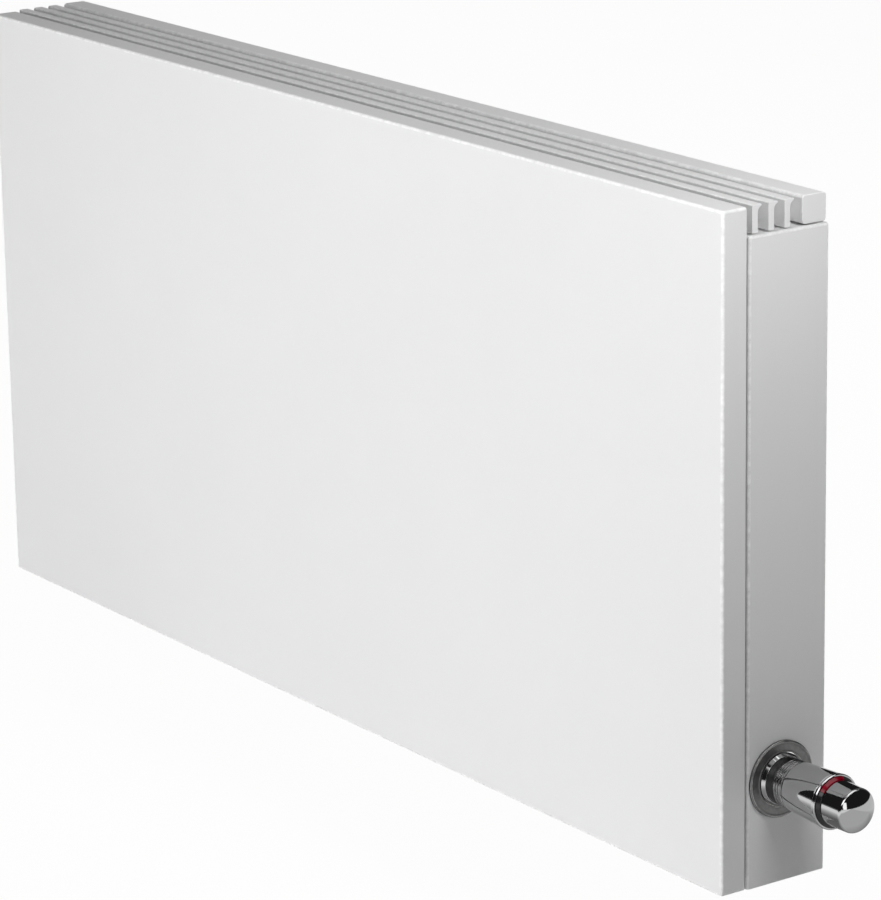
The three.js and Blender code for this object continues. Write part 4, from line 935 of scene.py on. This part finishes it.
FINE_EDGE, SOFT_EDGE, CAST_EDGE = 0.4 * MM, 0.5 * MM, 1.5 * MM
CAST_CORNER = 8 * MM
RAIL_SHEET, CAP_PLATE, CAP_PLUG = 1.8 * MM, 2 * MM, 8.3 * MM


def make_blade(sizes, node):
    """A grille blade: an upright web whose top widens to the rear."""
    low, high = (corner * TO_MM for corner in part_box(node))
    web, flare = sizes.blade_web * TO_MM, sizes.blade_flare * TO_MM
    foot, tip = Vector((low.y + web, high.z - 2.2 - flare)), Vector((high.y, high.z - 1.7))
    bend = Vector((low.y + web, high.z - 2.6))
    under = [
        foot * (1 - t) ** 2 + bend * 2 * t * (1 - t) + tip * t ** 2
        for t in (i / 8 for i in range(9))
    ]
    outline = filleted([
        (low.y, low.z, 0.7), (low.y + web, low.z, 0.7), *[tuple(p) for p in under],
        (high.y, high.z, 0.8), (low.y, high.z, 1.2),
    ])
    piece = pulled(
        "blade", [(y * MM, z * MM) for y, z in outline], low.x * MM, high.x * MM
    )
    soften(piece, FINE_EDGE, 2, 60)
    return piece


def rail_outline(sizes):
    low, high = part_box("rear_rail")
    corners = [(low.y, low.z), (high.y, low.z), (high.y, high.z), (low.y, high.z)]
    return [tuple(p) for p in filleted([(*c, sizes.rail_radius) for c in corners], 6)]


def make_rear_rail(sizes):
    low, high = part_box("rear_rail")
    piece = pulled("rail", rail_outline(sizes), low.x, high.x)
    with editing(piece):
        pick(piece, "faces", lambda f: abs(f.normal.x) > 0.99)
        bpy.ops.mesh.delete(type="FACE")
    modify(piece, "SOLIDIFY", thickness=RAIL_SHEET, offset=-1, use_even_offset=True, use_rim=True)
    return piece


def make_rail_cap(sizes):
    """The cap on the rear rail's right end, with the plug that holds it in the rail."""
    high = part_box("rail_cap_right")[1]
    face = high.x - CAP_PLATE
    plate = pulled("cap", rail_outline(sizes), face, high.x)
    soften(plate, SOFT_EDGE, 3, 60)
    low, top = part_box("rear_rail")
    inset = Vector((0, 2.1, 2.1)) * MM
    plug = block(
        "plug", Vector((face - CAP_PLUG, low.y, low.z)) + inset,
        Vector((face + 0.2 * MM, top.y, top.z)) - inset,
    )
    soften(plug, 0.0012, 3)
    return together(plate, plug)


class CONVECTOR_OT_grille(bpy.types.Operator):
    """Model the grille's blades, its rear rail, the rail's caps and the ties"""

    bl_idname = "convector.grille"
    bl_label = "Grille"

    def execute(self, context):
        sizes = context.scene.convector_casing
        for number in (1, 2, 3):
            node = f"grille_blade_{number}"
            stand_in(make_blade(sizes, node), node)
        stand_in(make_rear_rail(sizes), "rear_rail")
        cap = make_rail_cap(sizes)
        stand_in(copied(cap, "left_cap", mirror=True), "rail_cap_left")
        stand_in(cap, "rail_cap_right")
        for where in ("left", "centre", "right"):
            node = f"grille_tie_{where}"
            stand_in(refined(node, FINE_EDGE), node)
        return {"FINISHED"}


# ------------------------------------------------------------------ rails, brackets and pads


class CONVECTOR_OT_mounting(bpy.types.Operator):
    """Model the wall rails, the exchanger's brackets and their pads"""

    bl_idname = "convector.mounting"
    bl_label = "Rails and brackets"

    def execute(self, context):
        for names, bevel in (
            (("upper_wall_rail", "lower_wall_rail"), SOFT_EDGE),
            (("exchanger_bracket_left", "exchanger_bracket_right"), 0.7 * MM),
            (("bracket_pad_left", "bracket_pad_right"), FINE_EDGE),
        ):
            for node in names:
                stand_in(refined(node, bevel), node, smooth=20)
        return {"FINISHED"}


# ------------------------------------------------------------------ heat exchanger


def at_tubes(name, profile, x=0.0, **settings):
    """One turned piece on the axis of each water tube."""
    return [spun(name, profile, (x, y * MM, z * MM), **settings) for y, z in TUBE_PLACES]


def make_fin_pack(sizes):
    low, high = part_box("fin_pack")
    spread = high.x - low.x - sizes.fin_sheet
    count = round(spread / sizes.fin_pitch) + 1
    fin = block("fins", low, Vector((low.x + sizes.fin_sheet, high.y, high.z)))
    cut(fin, *at_tubes("bore", rod(-1, 1, 7.75), low.x, facets=12))
    modify(
        fin, "ARRAY", count=count, use_relative_offset=False, use_constant_offset=True,
        constant_offset_displace=(spread / (count - 1), 0, 0),
    )
    return fin


def make_collector(vented):
    """A cast collector on the right end, about the valve's axis."""
    inner, outer = COLLECTOR_ENDS
    half = Vector((0, 30.55, 36.55))
    body = block(
        "collector", VALVE_AXIS + (ALONG_X * inner - half) * MM,
        VALVE_AXIS + (ALONG_X * outer + half) * MM,
    )
    with editing(body, "EDGE"):
        pick(body, "edges", lambda e: runs_along(e, 0))
        bpy.ops.mesh.bevel(offset=CAST_CORNER, segments=8, affect="EDGES")
        pick(body, "edges", lambda e: (
            lies_on(e, 0, inner * MM, outer * MM) and not runs_along(e, 0)
        ))
        bpy.ops.mesh.bevel(offset=CAST_EDGE, segments=3, affect="EDGES")
    join(body, fitting("boss", [
        (521, 0), (521, 15.2), (522, 15), (523.2, 13.8), (530, 13.8, 0.8), (530, 0),
    ]))
    tools = at_tubes("socket", rod(493, 500.3, 8.05), facets=40)
    tools.append(fitting(
        "port", [(512, 0), (512, 9.1), (529.4, 9.1), (531, 10.7), (531, 0)], 64
    ))
    if vented:
        top = VALVE_AXIS + ALONG_X * (VENT_X * MM)
        join(body, spun("vent_boss", [
            (35, 0), (35, 7.6), (36.55, 7.4), (37.4, 6.4), (41.55, 6.4, 0.5), (41.55, 0),
        ], top, ALONG_Z, facets=48))
        tools.append(spun("vent_bore", rod(30, 43, 2.85), top, ALONG_Z, facets=32))
    return cut(body, *tools)


def make_vent_screw():
    place = VALVE_AXIS - ALONG_X * (VENT_X * MM)
    piece = spun("vent", [
        (33.55, 0), (33.55, 2.4, 0.3), (41.85, 2.4), (41.85, 4.4, 0.3), (45.85, 4.4, 0.5),
        (45.85, 0),
    ], place, ALONG_Z, facets=48)
    slot = block("slot", place + Vector((-6, -0.6, 44.35)) * MM, place + Vector((6, 0.6, 47)) * MM)
    return cut(piece, slot)


class CONVECTOR_OT_exchanger(bpy.types.Operator):
    """Model the fins, the water tubes, the collectors and the air vent"""

    bl_idname = "convector.exchanger"
    bl_label = "Heat exchanger"

    def execute(self, context):
        sizes = context.scene.convector_exchanger
        stand_in(make_fin_pack(sizes), "fin_pack")
        bore = TUBE_RADIUS - sizes.tube_wall * TO_MM
        tubes = at_tubes("water_tube", [
            (-TUBE_END, bore), (-TUBE_END, TUBE_RADIUS, 0.3), (TUBE_END, TUBE_RADIUS, 0.3),
            (TUBE_END, bore), (-TUBE_END, bore),
        ], facets=40)
        for number, piece in enumerate(tubes, start=1):
            stand_in(piece, f"exchanger_tube_{number}")
        stand_in(make_collector(vented=False), "collector_supply")
        vented = make_collector(vented=True)
        stand_in(copied(vented, "mirrored", mirror=True), "collector_return")
        bpy.data.objects.remove(vented)
        stand_in(make_vent_screw(), "vent_screw")
        return {"FINISHED"}


# ------------------------------------------------------------------ pipe fittings


def make_tailpiece():
    return fitting("tailpiece", [
        (519, 6.2), (519, 8.6, 0.5), (538, 8.6, 0.4), (538, 10.6, 0.3), (541, 10.6, 0.4),
        (541, 6.2), (519, 6.2),
    ])


def make_union_nut():
    nut = hexagon("union_nut", 533.7, 550.7, 28, VALVE_AXIS)
    bores = fitting("bores", [
        (532, 0), (532, 9.1), (537.7, 9.1), (537.7, 11.1), (550, 11.1), (552, 12.6), (552, 0),
    ])
    return cut(nut, bores)


def make_branch_nut():
    nut = hexagon("branch_nut", -40, -24, 27, BRANCH, ALONG_Z)
    bores = spun("bores", [
        (-42, 0), (-42, 7.8), (-32.3, 7.8), (-32.3, 11.1), (-24.6, 11.1), (-22, 13), (-22, 0),
    ], BRANCH, ALONG_Z)
    return cut(nut, bores)


def threads(start, end, radius, pitch=1.3, depth=0.6):
    """Profile of a run of thread, drawn as rings."""
    count = int((end - start) / pitch)
    points = []
    for i in range(count):
        at = start + i * pitch
        points += [(at, radius - depth), (at + pitch * 0.4, radius), (at + pitch * 0.6, radius)]
    return [*points, (start + count * pitch, radius - depth)]


def valve_branch():
    """The branch that runs down to the pipe, threaded at its end."""
    outer = spun("branch", [
        (-32, 0), (-32, 9.8), *threads(-31.6, -20, 10.6), (-20, 9.6), (-18.8, 9.6),
        (-18.4, 10.6), (0, 10.6), (0, 0),
    ], BRANCH, ALONG_Z, facets=64)
    bore = spun("branch_bore", rod(-33, 0, 6.5), BRANCH, ALONG_Z, facets=48)
    return outer, bore


def make_valve_body():
    shell = fitting("valve_body_shell", [
        (541.3, 0), (541.3, 9.8), *threads(541.8, 550.2, 10.6), (550.6, 9.8),
        (551, 12, 0.4), (553, 15, 1.0), (575.6, 15, 0.5), (577, 14.4, 0.3), (577, 0),
    ])
    outer, bore = valve_branch()
    waterway = fitting("waterway", [
        (540, 0), (540, 6.2), (553, 6.2), (553, 5.2), (556, 5.2, 0.4), (556, 10.2), (578, 10.2),
        (578, 0),
    ])
    return cut(join(shell, outer), waterway, bore)


def make_lockshield_body():
    shell = fitting("lockshield_shell", [
        (541.3, 0), (541.3, 9.8), *threads(541.8, 550.2, 10.6), (550.6, 9.8),
        (551, 11, 0.4), (553, 13, 0.8), (577, 13, 0.8), (577, 9.1),
        *threads(577.6, 585.4, 9.5, depth=0.5), (586, 8.6), (586, 0),
    ])
    outer, bore = valve_branch()
    waterway = fitting("waterway", [
        (540, 0), (540, 6.2), (553, 6.2), (553, 3.9), (556, 3.9), (556, 8.2), (573, 8.2),
        (573, 5.35), (587, 5.35), (587, 0),
    ])
    return cut(join(shell, outer), waterway, bore)


def make_bonnet():
    body = fitting("bonnet", [
        (569, 0), (569, 9.6, 0.4), (577.5, 9.6), (577.5, 12), (582.6, 12), (583, 13.6),
        *threads(583.4, 594.4, 14.7, 1.5, 0.7), (595, 13.6), (595, 0),
    ])
    join(body, hexagon("bonnet_hexagon", 577.3, 583, 27, VALVE_AXIS, chamfer=0.9))
    bores = fitting("bores", [
        (568, 0), (568, 3.05), (570.8, 3.05), (570.8, 6.9), (579.2, 6.9), (579.2, 2.45),
        (588, 2.45), (588, 4.2), (590.6, 4.2), (590.6, 2.45), (596, 2.45), (596, 0),
    ], 48)
    return cut(body, bores)


GROOVES = 24  # round the lockshield's cap


def make_lockshield_cap():
    cap = fitting("cap", [
        (577.8, 9.95), (577.8, 12.4, 0.3), (591.8, 12.4, 0.6), (593.3, 10.9, 0.6),
        (593.0, 8, 0.5), (593.0, 0), (590.8, 0), (590.8, 9.95), (577.8, 9.95),
    ])
    grooves = []
    for i in range(GROOVES):
        turn = 2 * math.pi * i / GROOVES
        place = VALVE_AXIS + Vector((0, math.sin(turn), math.cos(turn))) * (12.75 * MM)
        grooves.append(spun("groove", rod(577, 590, 0.7), place, facets=10))
    return cut(cap, together(*grooves))


def make_spindle():
    spindle = fitting("spindle", [
        (560, 0), (560, 2.9, 0.3), (564, 4.9, 0.3), (584, 4.9, 0.4), (584, 0),
    ], 48)
    return cut(spindle, hexagon("key_socket", 578, 586, 5.2, VALVE_AXIS, chamfer=0.1))


class CONVECTOR_OT_fittings(bpy.types.Operator):
    """Model the pipe fittings and the two valve bodies at the collectors"""

    bl_idname = "convector.fittings"
    bl_label = "Pipe fittings"

    def execute(self, context):
        for make, right, left in (
            (make_tailpiece, "tailpiece_supply", "tailpiece_return"),
            (make_union_nut, "union_nut_supply", "union_nut_return"),
            (make_branch_nut, "inlet_nut", "outlet_nut"),
            (make_valve_body, "valve_body", None),
            (make_bonnet, "valve_bonnet", None),
            (make_lockshield_body, None, "lockshield_body"),
            (make_lockshield_cap, None, "lockshield_cap"),
            (make_spindle, None, "lockshield_spindle"),
        ):
            piece = make()
            if left:
                stand_in(copied(piece, "mirrored", mirror=True), left)
            if right:
                stand_in(piece, right)
            else:
                bpy.data.objects.remove(piece)
        return {"FINISHED"}


# ------------------------------------------------------------------ thermostatic head


def head_piece(name, profile, **settings):
    """A turned piece of the head, in millimetres out from the side panel."""
    settings.setdefault("facets", bpy.context.scene.convector_head.facets)
    return spun(name, profile, VALVE_FACE, **settings)


def make_rosette():
    return head_piece("rosette", [
        (0.3, 24.3), (0.3, 34.5), (2.3, 34.5, 0.5), (3.3, 33.4, 0.5), (3.3, 31.9, 0.2),
        (3.0, 31.5, 0.2), (3.0, 26.0, 0.2), (3.3, 25.6, 0.2), (3.3, 24.8, 0.2), (2.8, 24.3),
        (0.3, 24.3),
    ])


def make_collar():
    return head_piece("collar", [
        (-14, 15.15), (-14, 22.9), (-13.2, 23.7, 0.3), (3.5, 23.7, 0.5), (6.7, 21.8, 0.35),
        (6.7, 16.35), (1.6, 16.35), (1.6, 18.55), (-5, 18.55), (-5, 15.15), (-14, 15.15),
    ])


def make_neck(sizes):
    """The head's fixed base: a plain neck, a few fine ribs and the tube inside the sleeve."""
    profile = [
        (-4.7, 6.3), (-4.7, 18.05, 0.2), (1.3, 18.05, 0.2), (1.3, 15.85), (7, 15.85),
        (7, 21.2), (7.3, 21.5, 0.15),
    ]
    pitch, depth = sizes.rib_pitch * TO_MM, sizes.rib_height * TO_MM
    for i in range(sizes.ribs):
        at = 17 + i * pitch
        profile += [
            (at, 21.5, 0.25), (at + 0.65, 21.5 - depth, 0.2), (at + 1.15, 21.5 - depth, 0.2),
            (at + 1.8, 21.5, 0.25),
        ]
    profile += [
        (26.7, 21.5), (26.9, 21.2), (26.9, 18), (60, 18, 0.3), (60, 15.8), (8.3, 15.8),
        (8.3, 6.3), (-4.7, 6.3),
    ]
    return head_piece("neck", profile)


def make_sleeve():
    return head_piece("sleeve", [
        (27.2, 18.45), (27.2, 20.75, 0.15), (28.5, 22.05, 0.5), (69.9, 24.18, 0.2),
        (70.2, 23.9, 0.1), (70.5, 24.2, 0.1), (71.0, 24.7, 0.45), (73.0, 24.7, 0.55),
        (73.6, 24.2, 0.2), (73.9, 24.0), (73.9, 18.45), (27.2, 18.45),
    ])


def ring_profile(proud=0.0):
    """The tapered ring before the knob, or the lens, which stands a little proud of it."""
    return [
        (74.2, 18.45), (74.2, 22.7, 0.2), (74.6, 22.9 + proud, 0.2), (77.3, 20.85 + proud, 0.25),
        (77.6, 20.3, 0.15), (77.6, 18.45), (74.2, 18.45),
    ]


def make_ring_and_lens(sizes):
    gap = math.radians(1.0)
    first = sizes.lens_tilt - sizes.lens_angle / 2
    lens = head_piece("lens", ring_profile(0.1), facets=40, angle=sizes.lens_angle, start=first)
    rest = 2 * math.pi - sizes.lens_angle - 2 * gap
    ring = head_piece(
        "ring", ring_profile(), facets=120, angle=rest, start=first + sizes.lens_angle + gap
    )
    return ring, lens


# In millimetres: the knob's side, where its wall ends, its domed end and how far out that starts.
KNOB_RADIUS, KNOB_DEPTH, KNOB_TIP = 19.9, 98.85, 107.85
DOME_RADIUS, DOME_EDGE = 30.6, 18.54


def make_knob(sizes):
    rim = sizes.rim_radius * TO_MM
    shoulder, dome = (KNOB_DEPTH, KNOB_RADIUS - rim), (KNOB_TIP - DOME_RADIUS, 0)
    turn = math.degrees(math.asin(DOME_EDGE / DOME_RADIUS))
    return head_piece("knob", [
        (78.05, 17.7), (78.05, 19.85, 0.1), (78.5, 20.3, 0.25),
        *arc(shoulder, rim, 90, turn, 10), *arc(dome, DOME_RADIUS, turn - 1.5, 0, 18),
        (KNOB_DEPTH, 0), (KNOB_DEPTH, 17.7), (78.05, 17.7),
    ])


def make_liner():
    return head_piece("liner", [
        (32, 13.4), (32, 15.2, 0.2), (78.35, 15.2), (78.35, 17.25, 0.2), (98.55, 17.25, 0.3),
        (98.55, 0), (96.75, 0), (96.75, 13.4), (32, 13.4),
    ], facets=72)


class CONVECTOR_OT_head(bpy.types.Operator):
    """Model the rosette, the thermostatic head's neck and sleeve, its lens and its knob"""

    bl_idname = "convector.head"
    bl_label = "Thermostatic head"

    def execute(self, context):
        sizes = context.scene.convector_head
        stand_in(make_rosette(), "rosette")
        stand_in(make_collar(), "head_collar")
        stand_in(make_neck(sizes), "head_base")
        stand_in(make_sleeve(), "head_sleeve")
        ring, lens = make_ring_and_lens(sizes)
        stand_in(ring, "indicator_ring")
        stand_in(lens, "indicator_lens")
        stand_in(make_knob(sizes), "knob", smooth=50)
        stand_in(make_liner(), "knob_liner")
        return {"FINISHED"}


class CONVECTOR_OT_inner_parts(bpy.types.Operator):
    """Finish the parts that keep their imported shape, all of them inside the valve and its head"""

    bl_idname = "convector.inner_parts"
    bl_label = "Inner parts"

    def execute(self, context):
        for node in (
            "valve_stem", "valve_disc", "return_spring", "stem_seal", "sensor_carriage",
            "sensor_capsule", "overtravel_spring",
        ):
            coat(node)
        return {"FINISHED"}


# ------------------------------------------------------------------ studio


CAMERA_PLACE = Vector((3.29302, -2.29077, 0.84586))
CAMERA_AZIMUTH, CAMERA_PITCH, CAMERA_ROLL = (math.radians(turn) for turn in (54.95, 15.83, -0.94))
CAMERA_LENS, CAMERA_SENSOR = 173.16, 36.0
CAMERA_NEAR, CAMERA_FAR = 0.05, 200
FLOOR_SIZE = 60
STAND = Vector((0, -0.05, -0.2))  # about the middle of the convector
# name, place, target, size in metres
LIGHTS = (
    ("Key", (0.1, -3.3, -0.45), STAND, 1.2),
    ("Side", (1.1, -0.17, 0.34), (0.6, -0.05, 0.0), 0.3),
    ("Top", (0.3, -0.6, 1.6), (0.3, -0.05, 0.06), 0.8),
    ("Back", (-0.7, 3.0, 1.0), STAND, 2.0),
)
ALL = (-200, 200, 0.5)  # every height or bearing
# What reflections show of the studio: height above the horizon and bearing from straight ahead of
# the panel towards the valve, both from, to and softness in degrees, and brightness.
SOFTBOXES = (
    ((50, 80, 0.5), (58, 160, 3), 1.6),  # high over the valve's end
    ((41, 44, 0.5), (58, 160, 3), 1.6),  # a bar under it
    ((-10, 20, 0.5), (65, 75, 0.5), 1.6),  # an upright strip
    ((24, 48, 2), (22, 62, 3), 2.2),  # beside the camera
    ((60, 95, 4), ALL, 0.35),  # the ceiling
    (ALL, (-180, -150, 10), 0.12),  # the wall behind on the left
)
DARK_STUDIO = 0.015  # brightness of everything else
FLOOR_SHADING = 0.03  # how much of the shadows on the floor the camera sees


def add_camera():
    cos, sin = math.cos, math.sin
    forward = Vector((
        -sin(CAMERA_AZIMUTH) * cos(CAMERA_PITCH), cos(CAMERA_AZIMUTH) * cos(CAMERA_PITCH),
        -sin(CAMERA_PITCH),
    ))
    right = Vector((cos(CAMERA_AZIMUTH), sin(CAMERA_AZIMUTH), 0))
    up = right.cross(forward)
    across = right * cos(CAMERA_ROLL) + up * sin(CAMERA_ROLL)
    upright = up * cos(CAMERA_ROLL) - right * sin(CAMERA_ROLL)
    data = bpy.data.cameras.new("Camera")
    data.lens, data.sensor_width = CAMERA_LENS, CAMERA_SENSOR
    data.clip_start, data.clip_end = CAMERA_NEAR, CAMERA_FAR
    camera = placed("Camera", data)
    turn = Matrix((across, upright, -forward)).transposed()
    camera.matrix_world = Matrix.Translation(CAMERA_PLACE) @ turn.to_4x4()
    bpy.context.scene.camera = camera


def add_light(name, place, target, size, watts):
    """An area light that neither the camera nor a reflection shows."""
    data = bpy.data.lights.new(name, "AREA")
    data.size, data.energy = size, watts
    light = placed(name, data)
    light.location = place
    light.rotation_euler = (Vector(target) - Vector(place)).to_track_quat("-Z", "Y").to_euler()
    light.visible_camera = light.visible_glossy = False


def band(tree, value, low, high, soft):
    """1 between two values and 0 outside them, with soft edges."""
    rise = ramp(tree, value, low - soft, low + soft)
    fall = ramp(tree, value, high - soft, high + soft, 1.0, 0.0)
    return maths(tree, "MULTIPLY", rise, fall)


def light_world(studio):
    """Pale to the camera, soft on matt surfaces, and a dark studio with softboxes in mirrors."""
    world = bpy.data.worlds.new("Studio")
    bpy.context.scene.world = world
    world.use_nodes = True
    tree = world.node_tree
    tree.nodes.clear()
    way = tree.nodes.new("ShaderNodeTexCoord").outputs["Generated"]
    x, y, z = add(tree, "ShaderNodeSeparateXYZ", {0: way}).outputs
    degrees = math.degrees(1)
    height = maths(tree, "MULTIPLY", maths(tree, "ARCSINE", z), degrees)
    bearing = maths(tree, "ARCTAN2", x, maths(tree, "MULTIPLY", y, -1.0))
    bearing = maths(tree, "MULTIPLY", bearing, degrees)
    bright = 0.0
    for heights, bearings, level in SOFTBOXES:
        box = maths(tree, "MULTIPLY", band(tree, height, *heights), band(tree, bearing, *bearings))
        bright = maths(tree, "MAXIMUM", bright, maths(tree, "MULTIPLY", box, level))
    seen, soft, mirrored = (
        add(tree, "ShaderNodeBackground", {"Color": (grey, grey, grey), "Strength": strength})
        for grey, strength in (
            (0.98, 1.0), (1.0, studio.ambient), (1.0, maths(tree, "ADD", bright, DARK_STUDIO))
        )
    )
    ray = tree.nodes.new("ShaderNodeLightPath").outputs
    unseen = mix_shaders(tree, ray["Is Glossy Ray"], soft, mirrored)
    shown = mix_shaders(tree, ray["Is Camera Ray"], unseen, seen)
    add(tree, "ShaderNodeOutputWorld", {"Surface": shown.outputs[0]})


def add_floor(studio):
    """A pale floor that runs into the background. Reflections show it lit beside and before the
    convector and behind it, and dark near its front."""
    place = (0, 0, CAD_LOW.z - studio.floor_drop)
    bpy.ops.mesh.primitive_plane_add(size=FLOOR_SIZE, location=place)
    floor = bpy.context.object
    floor.name = "floor"
    material = bpy.data.materials.new("Floor")
    material.use_nodes = True
    tree = material.node_tree
    matt = tree.nodes["Principled BSDF"]
    matt.inputs["Base Color"].default_value = (0.8, 0.8, 0.8, 1)
    matt.inputs["Roughness"].default_value = 0.8
    matt.inputs["Specular IOR Level"].default_value = 0.1
    place = add(tree, "ShaderNodeSeparateXYZ", {
        0: tree.nodes.new("ShaderNodeTexCoord").outputs["Object"]
    }).outputs
    beside = ramp(tree, place["X"], 0.5, 0.85, 0.16, 0.60)
    before = ramp(tree, place["Y"], -0.15, -0.8)
    near = ramp(tree, place["Y"], -3.0, -2.4)
    behind = ramp(tree, place["Y"], 0.1, 0.6, 0.0, 0.75)
    sheen = maths(tree, "MAXIMUM", beside, maths(tree, "MULTIPLY", before, near))
    sheen = maths(tree, "MAXIMUM", sheen, behind)
    glow, mirrored = (
        add(tree, "ShaderNodeEmission", {"Color": (1.0, 1.0, 1.0), "Strength": strength})
        for strength in (1.0, sheen)
    )
    seen = mix_shaders(tree, FLOOR_SHADING, glow, matt)
    ray = tree.nodes.new("ShaderNodeLightPath").outputs
    unseen = mix_shaders(tree, ray["Is Glossy Ray"], matt, mirrored)
    shown = mix_shaders(tree, ray["Is Camera Ray"], unseen, seen)
    feed(tree, tree.nodes["Material Output"].inputs["Surface"], shown.outputs[0])
    floor.data.materials.append(material)


class CONVECTOR_OT_stage(bpy.types.Operator):
    """Set up the camera, the floor, the lights and the surroundings"""

    bl_idname = "convector.stage"
    bl_label = "Studio"

    def execute(self, context):
        studio = context.scene.convector_studio
        add_camera()
        add_floor(studio)
        light_world(studio)
        for name, place, target, size in LIGHTS:
            add_light(name, place, target, size, getattr(studio, name.lower()))
        context.scene.view_settings.view_transform = "Standard"
        return {"FINISHED"}


# ------------------------------------------------------------------ add-on


GROUP_OF_SETTINGS = {
    "convector_casing": ConvectorCasing,
    "convector_exchanger": ConvectorExchanger,
    "convector_head": ConvectorHead,
    "convector_colours": ConvectorColours,
    "convector_studio": ConvectorStudio,
}
OPERATORS = (
    CONVECTOR_OT_stage, CONVECTOR_OT_casing, CONVECTOR_OT_grille, CONVECTOR_OT_mounting,
    CONVECTOR_OT_exchanger, CONVECTOR_OT_fittings, CONVECTOR_OT_head, CONVECTOR_OT_inner_parts,
)


class CONVECTOR_PT_main(bpy.types.Panel):
    """Settings and steps of the convector"""

    bl_idname = "CONVECTOR_PT_main"
    bl_label = "Convector"
    bl_space_type = "VIEW_3D"
    bl_region_type = "UI"
    bl_category = "Convector"

    def draw(self, context):
        for name in GROUP_OF_SETTINGS:
            settings = getattr(context.scene, name)
            column = self.layout.box().column(align=True)
            for prop in settings.bl_rna.properties:
                if prop.identifier not in {"rna_type", "name"}:
                    column.prop(settings, prop.identifier)
        for operator in OPERATORS:
            self.layout.operator(operator.bl_idname)


def register():
    for name, settings in GROUP_OF_SETTINGS.items():
        bpy.utils.register_class(settings)
        setattr(bpy.types.Scene, name, PointerProperty(type=settings))
    for each in (*OPERATORS, CONVECTOR_PT_main):
        bpy.utils.register_class(each)


def unregister():
    for each in (CONVECTOR_PT_main, *reversed(OPERATORS)):
        bpy.utils.unregister_class(each)
    for name, settings in GROUP_OF_SETTINGS.items():
        delattr(bpy.types.Scene, name)
        bpy.utils.unregister_class(settings)


def main():
    register()
    for operator in OPERATORS:
        group_name, step = operator.bl_idname.split(".")
        getattr(getattr(bpy.ops, group_name), step)()


if __name__ == "__main__":
    main()
